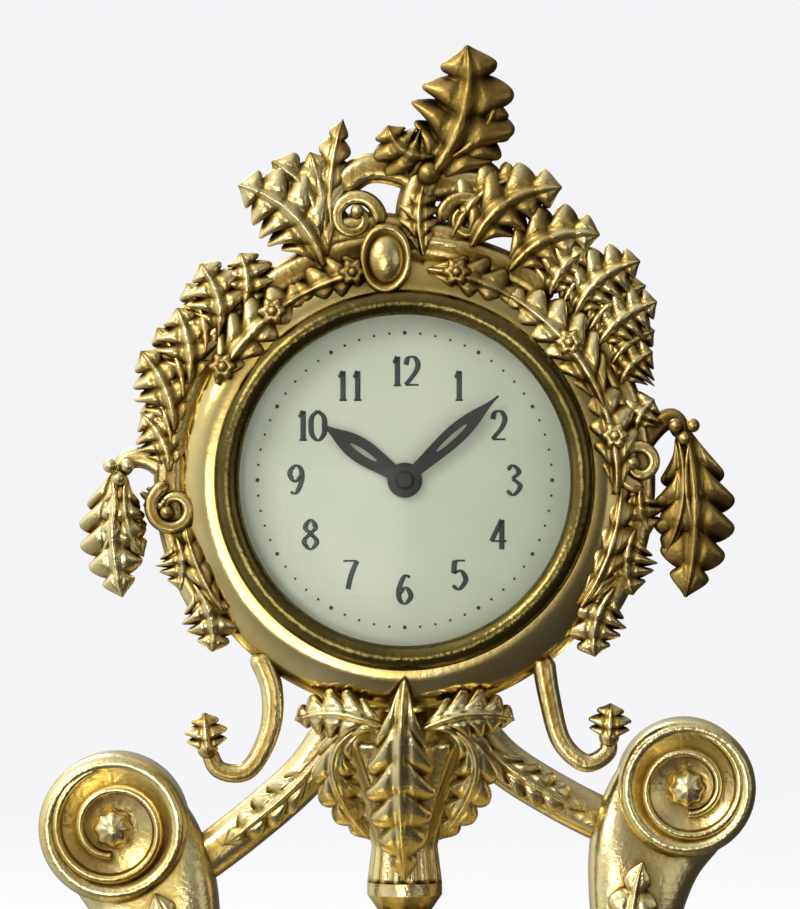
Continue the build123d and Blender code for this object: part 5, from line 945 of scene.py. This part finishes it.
# Painted light: the pendant, in the shade under the drum, is painted lighter, and the arms and legs are
# lifted a little lighter too.
piece("cast_pendant", rubbed(pendant(), 1.0, 0.3), gilt, stands_for=("pendant",))
for name, side, end in (("left", -1, LEFT_VOLUTE), ("right", 1, RIGHT_VOLUTE)):
    limb = rubbed(arm(side, end), 1.0, 0.1)
    piece(f"cast_{name}_arm", limb, gilt, stands_for=(f"{name}_arm",))
    limb = rubbed(leg(side, end), 1.0, 0.2)
    piece(f"cast_{name}_leg", limb, gilt, stands_for=(f"{name}_leg",))


# Dial numbers: pen strokes in a box one unit high, thick where they run down the page

DIGITS = {
    "0": [
        [(0.5, 1.0), (0.16, 0.8), (0.1, 0.5), (0.16, 0.2), (0.5, 0.0)]
        + [(0.84, 0.2), (0.9, 0.5), (0.84, 0.8), (0.5, 1.0)],
    ],
    "1": [
        [(0.5, 1.0), (0.5, 0.5), (0.5, 0.0)],
        [(0.24, 0.8), (0.38, 0.86), (0.5, 1.0)],
        [(0.28, 0.02), (0.72, 0.02)],
    ],
    "2": [
        [(0.14, 0.72), (0.26, 0.95), (0.62, 0.98), (0.84, 0.74), (0.66, 0.44), (0.12, 0.04)],
        [(0.12, 0.04), (0.88, 0.04)],
    ],
    "3": [
        [(0.16, 0.86), (0.46, 1.0), (0.8, 0.78), (0.44, 0.55)],
        [(0.44, 0.55), (0.88, 0.3), (0.5, 0.0), (0.12, 0.14)],
    ],
    "4": [
        [(0.66, 0.0), (0.66, 0.5), (0.66, 1.0)],
        [(0.66, 1.0), (0.36, 0.65), (0.06, 0.28)],
        [(0.06, 0.28), (0.94, 0.28)],
    ],
    "5": [
        [(0.84, 0.97), (0.24, 0.97)],
        [(0.24, 0.97), (0.2, 0.75), (0.18, 0.54)],
        [(0.18, 0.54), (0.6, 0.62), (0.88, 0.32), (0.5, 0.0), (0.12, 0.12)],
    ],
    "6": [
        [(0.8, 0.9), (0.48, 0.94), (0.16, 0.5), (0.2, 0.14)]
        + [(0.52, 0.0), (0.86, 0.26), (0.56, 0.55), (0.18, 0.34)],
    ],
    "7": [
        [(0.1, 0.96), (0.9, 0.96)],
        [(0.9, 0.96), (0.56, 0.5), (0.36, 0.0)],
    ],
    "8": [
        [(0.5, 0.54), (0.2, 0.74), (0.5, 1.0), (0.8, 0.74), (0.5, 0.54)]
        + [(0.12, 0.26), (0.5, 0.0), (0.88, 0.26), (0.5, 0.54)],
    ],
    "9": [
        [(0.2, 0.1), (0.52, 0.06), (0.84, 0.5), (0.8, 0.86)]
        + [(0.48, 1.0), (0.14, 0.74), (0.44, 0.45), (0.82, 0.66)],
    ],
}


def dial_depth(x, z):
    return DIAL_FACE_Y + DIAL_CROWN * (x * x + z * z) / DIAL_R**2


def on_dial(points, lift):
    y = dial_depth(points[..., 0], points[..., 1]) + lift
    return np.stack([points[..., 0], y, points[..., 1]], axis=-1)


def stroke(points, place):
    """Flat pen stroke on the dial."""
    flat = np.array([(x * NUMBER_W, 0.0, z * NUMBER_H) for x, z in points])
    path = curve(flat, 34) if len(flat) > 2 else even(flat, 12)
    along, across, _ = directions(path)
    pen = 0.20 + 0.36 * np.abs(along[:, 2]) ** 1.5
    line = np.stack([path[:, 0], path[:, 2]], axis=1) + np.array(place)
    off = np.stack([across[:, 0], across[:, 2]], axis=1)
    edges = np.stack([line + off * pen[:, None] * s for s in (-1, -0.5, 0, 0.5, 1)], axis=1)
    return plate(on_dial(edges, INK_FRONT), on_dial(edges, INK_BACK), np.full(edges.shape[:2], 0.5))


def number(value):
    """Hour number, centred on its place in the circle."""
    x, z = polar(NUMBER_R, 90 - 30 * value)
    text = str(value)
    pitch = 0.86 * NUMBER_W if len(text) > 1 else 0.0
    shapes = []
    for k, digit in enumerate(text):
        left = x + (k - (len(text) - 1) / 2) * pitch - NUMBER_W / 2
        shapes += [stroke(points, (left, z - NUMBER_H / 2)) for points in DIGITS[digit]]
    return shapes


def minute_dot(minute):
    x, z = polar(MINUTE_R, 6 * minute)
    size = HOUR_DOT_R if minute % 5 == 0 else MINUTE_DOT_R
    section = ((0.02, INK_FRONT), (0.8, INK_FRONT), (1.0, -0.02), (1.0, INK_BACK), (0.02, INK_BACK))
    return turned([(size * r, dial_depth(x, z) + y) for r, y in section], (x, z), sides=12)


marks = [shape for value in range(1, 13) for shape in number(value)]
marks += [minute_dot(m) for m in range(60)]
piece("dial_marks", marks, ink)


# Base


def outline(width, depth, corner=22.0, bow=6.0):
    """Plan outline with bowed sides and rounded corners, as points with no height."""
    hw, hd = width / 2, depth / 2
    long_x, long_y, short_x, short_y = hw - corner, hd - bow, hw - bow, hd - corner
    swell = 0.17 * corner
    mid_x, mid_y = (long_x + short_x) / 2 + swell, (long_y + short_y) / 2 + swell
    arcs = [
        ((-long_x, -long_y), (0, -hd), (long_x, -long_y)),
        ((long_x, -long_y), (mid_x, -mid_y), (short_x, -short_y)),
        ((short_x, -short_y), (hw, 0), (short_x, short_y)),
        ((short_x, short_y), (mid_x, mid_y), (long_x, long_y)),
        ((long_x, long_y), (0, hd), (-long_x, long_y)),
        ((-long_x, long_y), (-mid_x, mid_y), (-short_x, short_y)),
        ((-short_x, short_y), (-hw, 0), (-short_x, -short_y)),
        ((-short_x, -short_y), (-mid_x, -mid_y), (-long_x, -long_y)),
    ]
    return even(np.vstack([bent((*a, 0), (*m, 0), (*b, 0), 40)[:-1] for a, m, b in arcs]), 720)


def rope(path, radius, height, pitch):
    """Twisted moulding that lies along a closed plan outline."""
    ring = np.vstack([path, path[:1]])
    along = np.gradient(ring, axis=0)
    along /= np.linalg.norm(along, axis=1)[:, None]
    outward = np.stack([along[:, 1], -along[:, 0], np.zeros(len(ring))], axis=1)
    steps = np.concatenate([[0], np.cumsum(np.linalg.norm(np.diff(ring, axis=0), axis=1))])
    twists = round(steps[-1] / pitch)
    angle = np.linspace(0, 2 * np.pi, 18, endpoint=False)
    phase = 2 * np.pi * twists * steps / steps[-1]
    strand = np.abs(np.cos(0.5 * (3 * angle[None] - phase[:, None])))
    size = radius * (0.72 + 0.28 * strand)
    loops = ring[:, None] + np.array([0, 0, height])
    loops = loops + outward[:, None] * (size * np.cos(angle))[..., None]
    loops = loops + np.array([0, 0, 1.0]) * (size * np.sin(angle))[..., None]
    return rings(loops, 0.15 + 0.75 * strand)


def foot(x, y):
    """Scroll foot turned out along its corner's diagonal."""
    shapes = volute((FOOT_OUT, FLOOR + FOOT_R), FOOT_R, FOOT_DEEP, FOOT_START, -FOOT_TURNS)
    neck = np.array([(FOOT_NECK_X, 0, FLOOR + z) for z in np.linspace(*FOOT_NECK_LEVELS, 8)])
    width = np.linspace(*FOOT_NECK_HALF, 8)
    shapes.append(bar(neck, np.stack([width, 0 * width, 0 * width], axis=1), FOOT_NECK_DEEP, power=0.5))
    return [moved(s, x, y, turn=math.degrees(math.atan2(y, x))) for s in shapes]


mouldings = [rope(outline(w, d), radius, FLOOR + up, pitch) for w, d, radius, up, pitch in ROPES]
cove = acanthus(bent(*[(0, y, FLOOR + z) for y, z in COVE]), COVE_LEAF_W, 6, front=1.6, curl=0.6)
mouldings += [moved(cove, turn=turn) for turn in (0, 180)]
piece("base_mouldings", mouldings, gilt)

corners = [(sx * FOOT_X, sy * FOOT_Y) for sx in (-1, 1) for sy in (-1, 1)]
feet = [shape for x, y in corners for shape in foot(x, y)]
piece("cast_feet", feet, gilt, stands_for=("base_feet",))

belly = acanthus(bent(*[(0, y, DECK_TOP + z) for y, z in BELLY]), BELLY_LEAF_W, 5, front=1.2, curl=0.8)
wreath = [moved(belly, turn=360 / BELLY_LEAVES * k) for k in range(BELLY_LEAVES)]
piece("baluster_leaves", wreath, gilt)


# Floor, light and camera


def backdrop():
    """Pale floor that curves up into a wall all round, in metres."""
    profile = [(0.01, 0.0), (0.8, 0.0), (STAGE_R, 0.0)]
    for a in np.linspace(0.1, math.pi / 2, 14):
        profile.append((STAGE_R + STAGE_BEND * math.sin(a), STAGE_BEND - STAGE_BEND * math.cos(a)))
    profile.append((STAGE_R + STAGE_BEND, STAGE_TOP))
    sides = 96
    turns = [2 * math.pi * k / sides for k in range(sides)]
    points = [(r * math.cos(a), r * math.sin(a), z) for r, z in profile for a in turns]
    mesh = bpy.data.meshes.new("backdrop")
    mesh.from_pydata(points, [], grid_faces(len(profile), sides, closed=True) + [tuple(range(sides))])
    mesh.shade_smooth()
    material, tree, surface, where = shader("backdrop")
    tree.links.new(ramp(tree, noise(tree, where, 1.5), STAGE_TONES), surface.inputs["Base Color"])
    surface.inputs["Emission Color"].default_value = STAGE_GLOW
    surface.inputs["Emission Strength"].default_value = 0.84
    surface.inputs["Roughness"].default_value = 0.9
    surface.inputs["Specular IOR Level"].default_value = 0.1
    mesh.materials.append(material)
    made = bpy.data.objects.new("backdrop", mesh)
    bpy.context.scene.collection.objects.link(made)
    made.visible_glossy = False


def lamp(name, place, aim, size, power, colour):
    data = bpy.data.lights.new(name, "AREA")
    data.size = size
    data.energy = power
    data.color = colour
    made = bpy.data.objects.new(name, data)
    made.location = place
    made.rotation_euler = (Vector(aim) - Vector(place)).to_track_quat("-Z", "Y").to_euler()
    bpy.context.scene.collection.objects.link(made)


def sky():
    """Soft studio: pale for the lens, with a bright left and a dark right for the metal."""
    world = bpy.data.worlds.new("studio")
    world.use_nodes = True
    bpy.context.scene.world = world
    tree = world.node_tree
    tree.nodes.clear()
    out = tree.nodes.new("ShaderNodeOutputWorld")
    seen = tree.nodes.new("ShaderNodeBackground")
    lit = tree.nodes.new("ShaderNodeBackground")
    mix = tree.nodes.new("ShaderNodeMixShader")
    seen.inputs["Color"].default_value = SKY_SEEN
    where = tree.nodes.new("ShaderNodeTexCoord")
    split = tree.nodes.new("ShaderNodeSeparateXYZ")
    tree.links.new(where.outputs["Generated"], split.inputs["Vector"])
    sideways = spread(tree, split.outputs["X"], 0.62, 0.0, -1.0, 1.0)
    height = spread(tree, split.outputs["Z"], 0.05, 0.38, -0.4, 1.0)
    tone = ramp(tree, combine(tree, "ADD", sideways, height), SKY_TONES)
    tree.links.new(tone, lit.inputs["Color"])
    ray = tree.nodes.new("ShaderNodeLightPath")
    tree.links.new(ray.outputs["Is Camera Ray"], mix.inputs["Fac"])
    tree.links.new(lit.outputs["Background"], mix.inputs[1])
    tree.links.new(seen.outputs["Background"], mix.inputs[2])
    tree.links.new(mix.outputs["Shader"], out.inputs["Surface"])


def camera():
    """Long lens, level with the middle of the picture."""
    data = bpy.data.cameras.new("camera")
    data.lens = CAMERA_LENS
    data.sensor_width = CAMERA_SENSOR
    made = bpy.data.objects.new("camera", data)
    made.location = CAMERA_PLACE
    made.rotation_euler = (math.pi / 2, 0, 0)
    bpy.context.scene.collection.objects.link(made)
    bpy.context.scene.camera = made


backdrop()
for light in LAMPS:
    lamp(*light)
sky()
camera()
bpy.context.scene.view_settings.view_transform = "Standard"
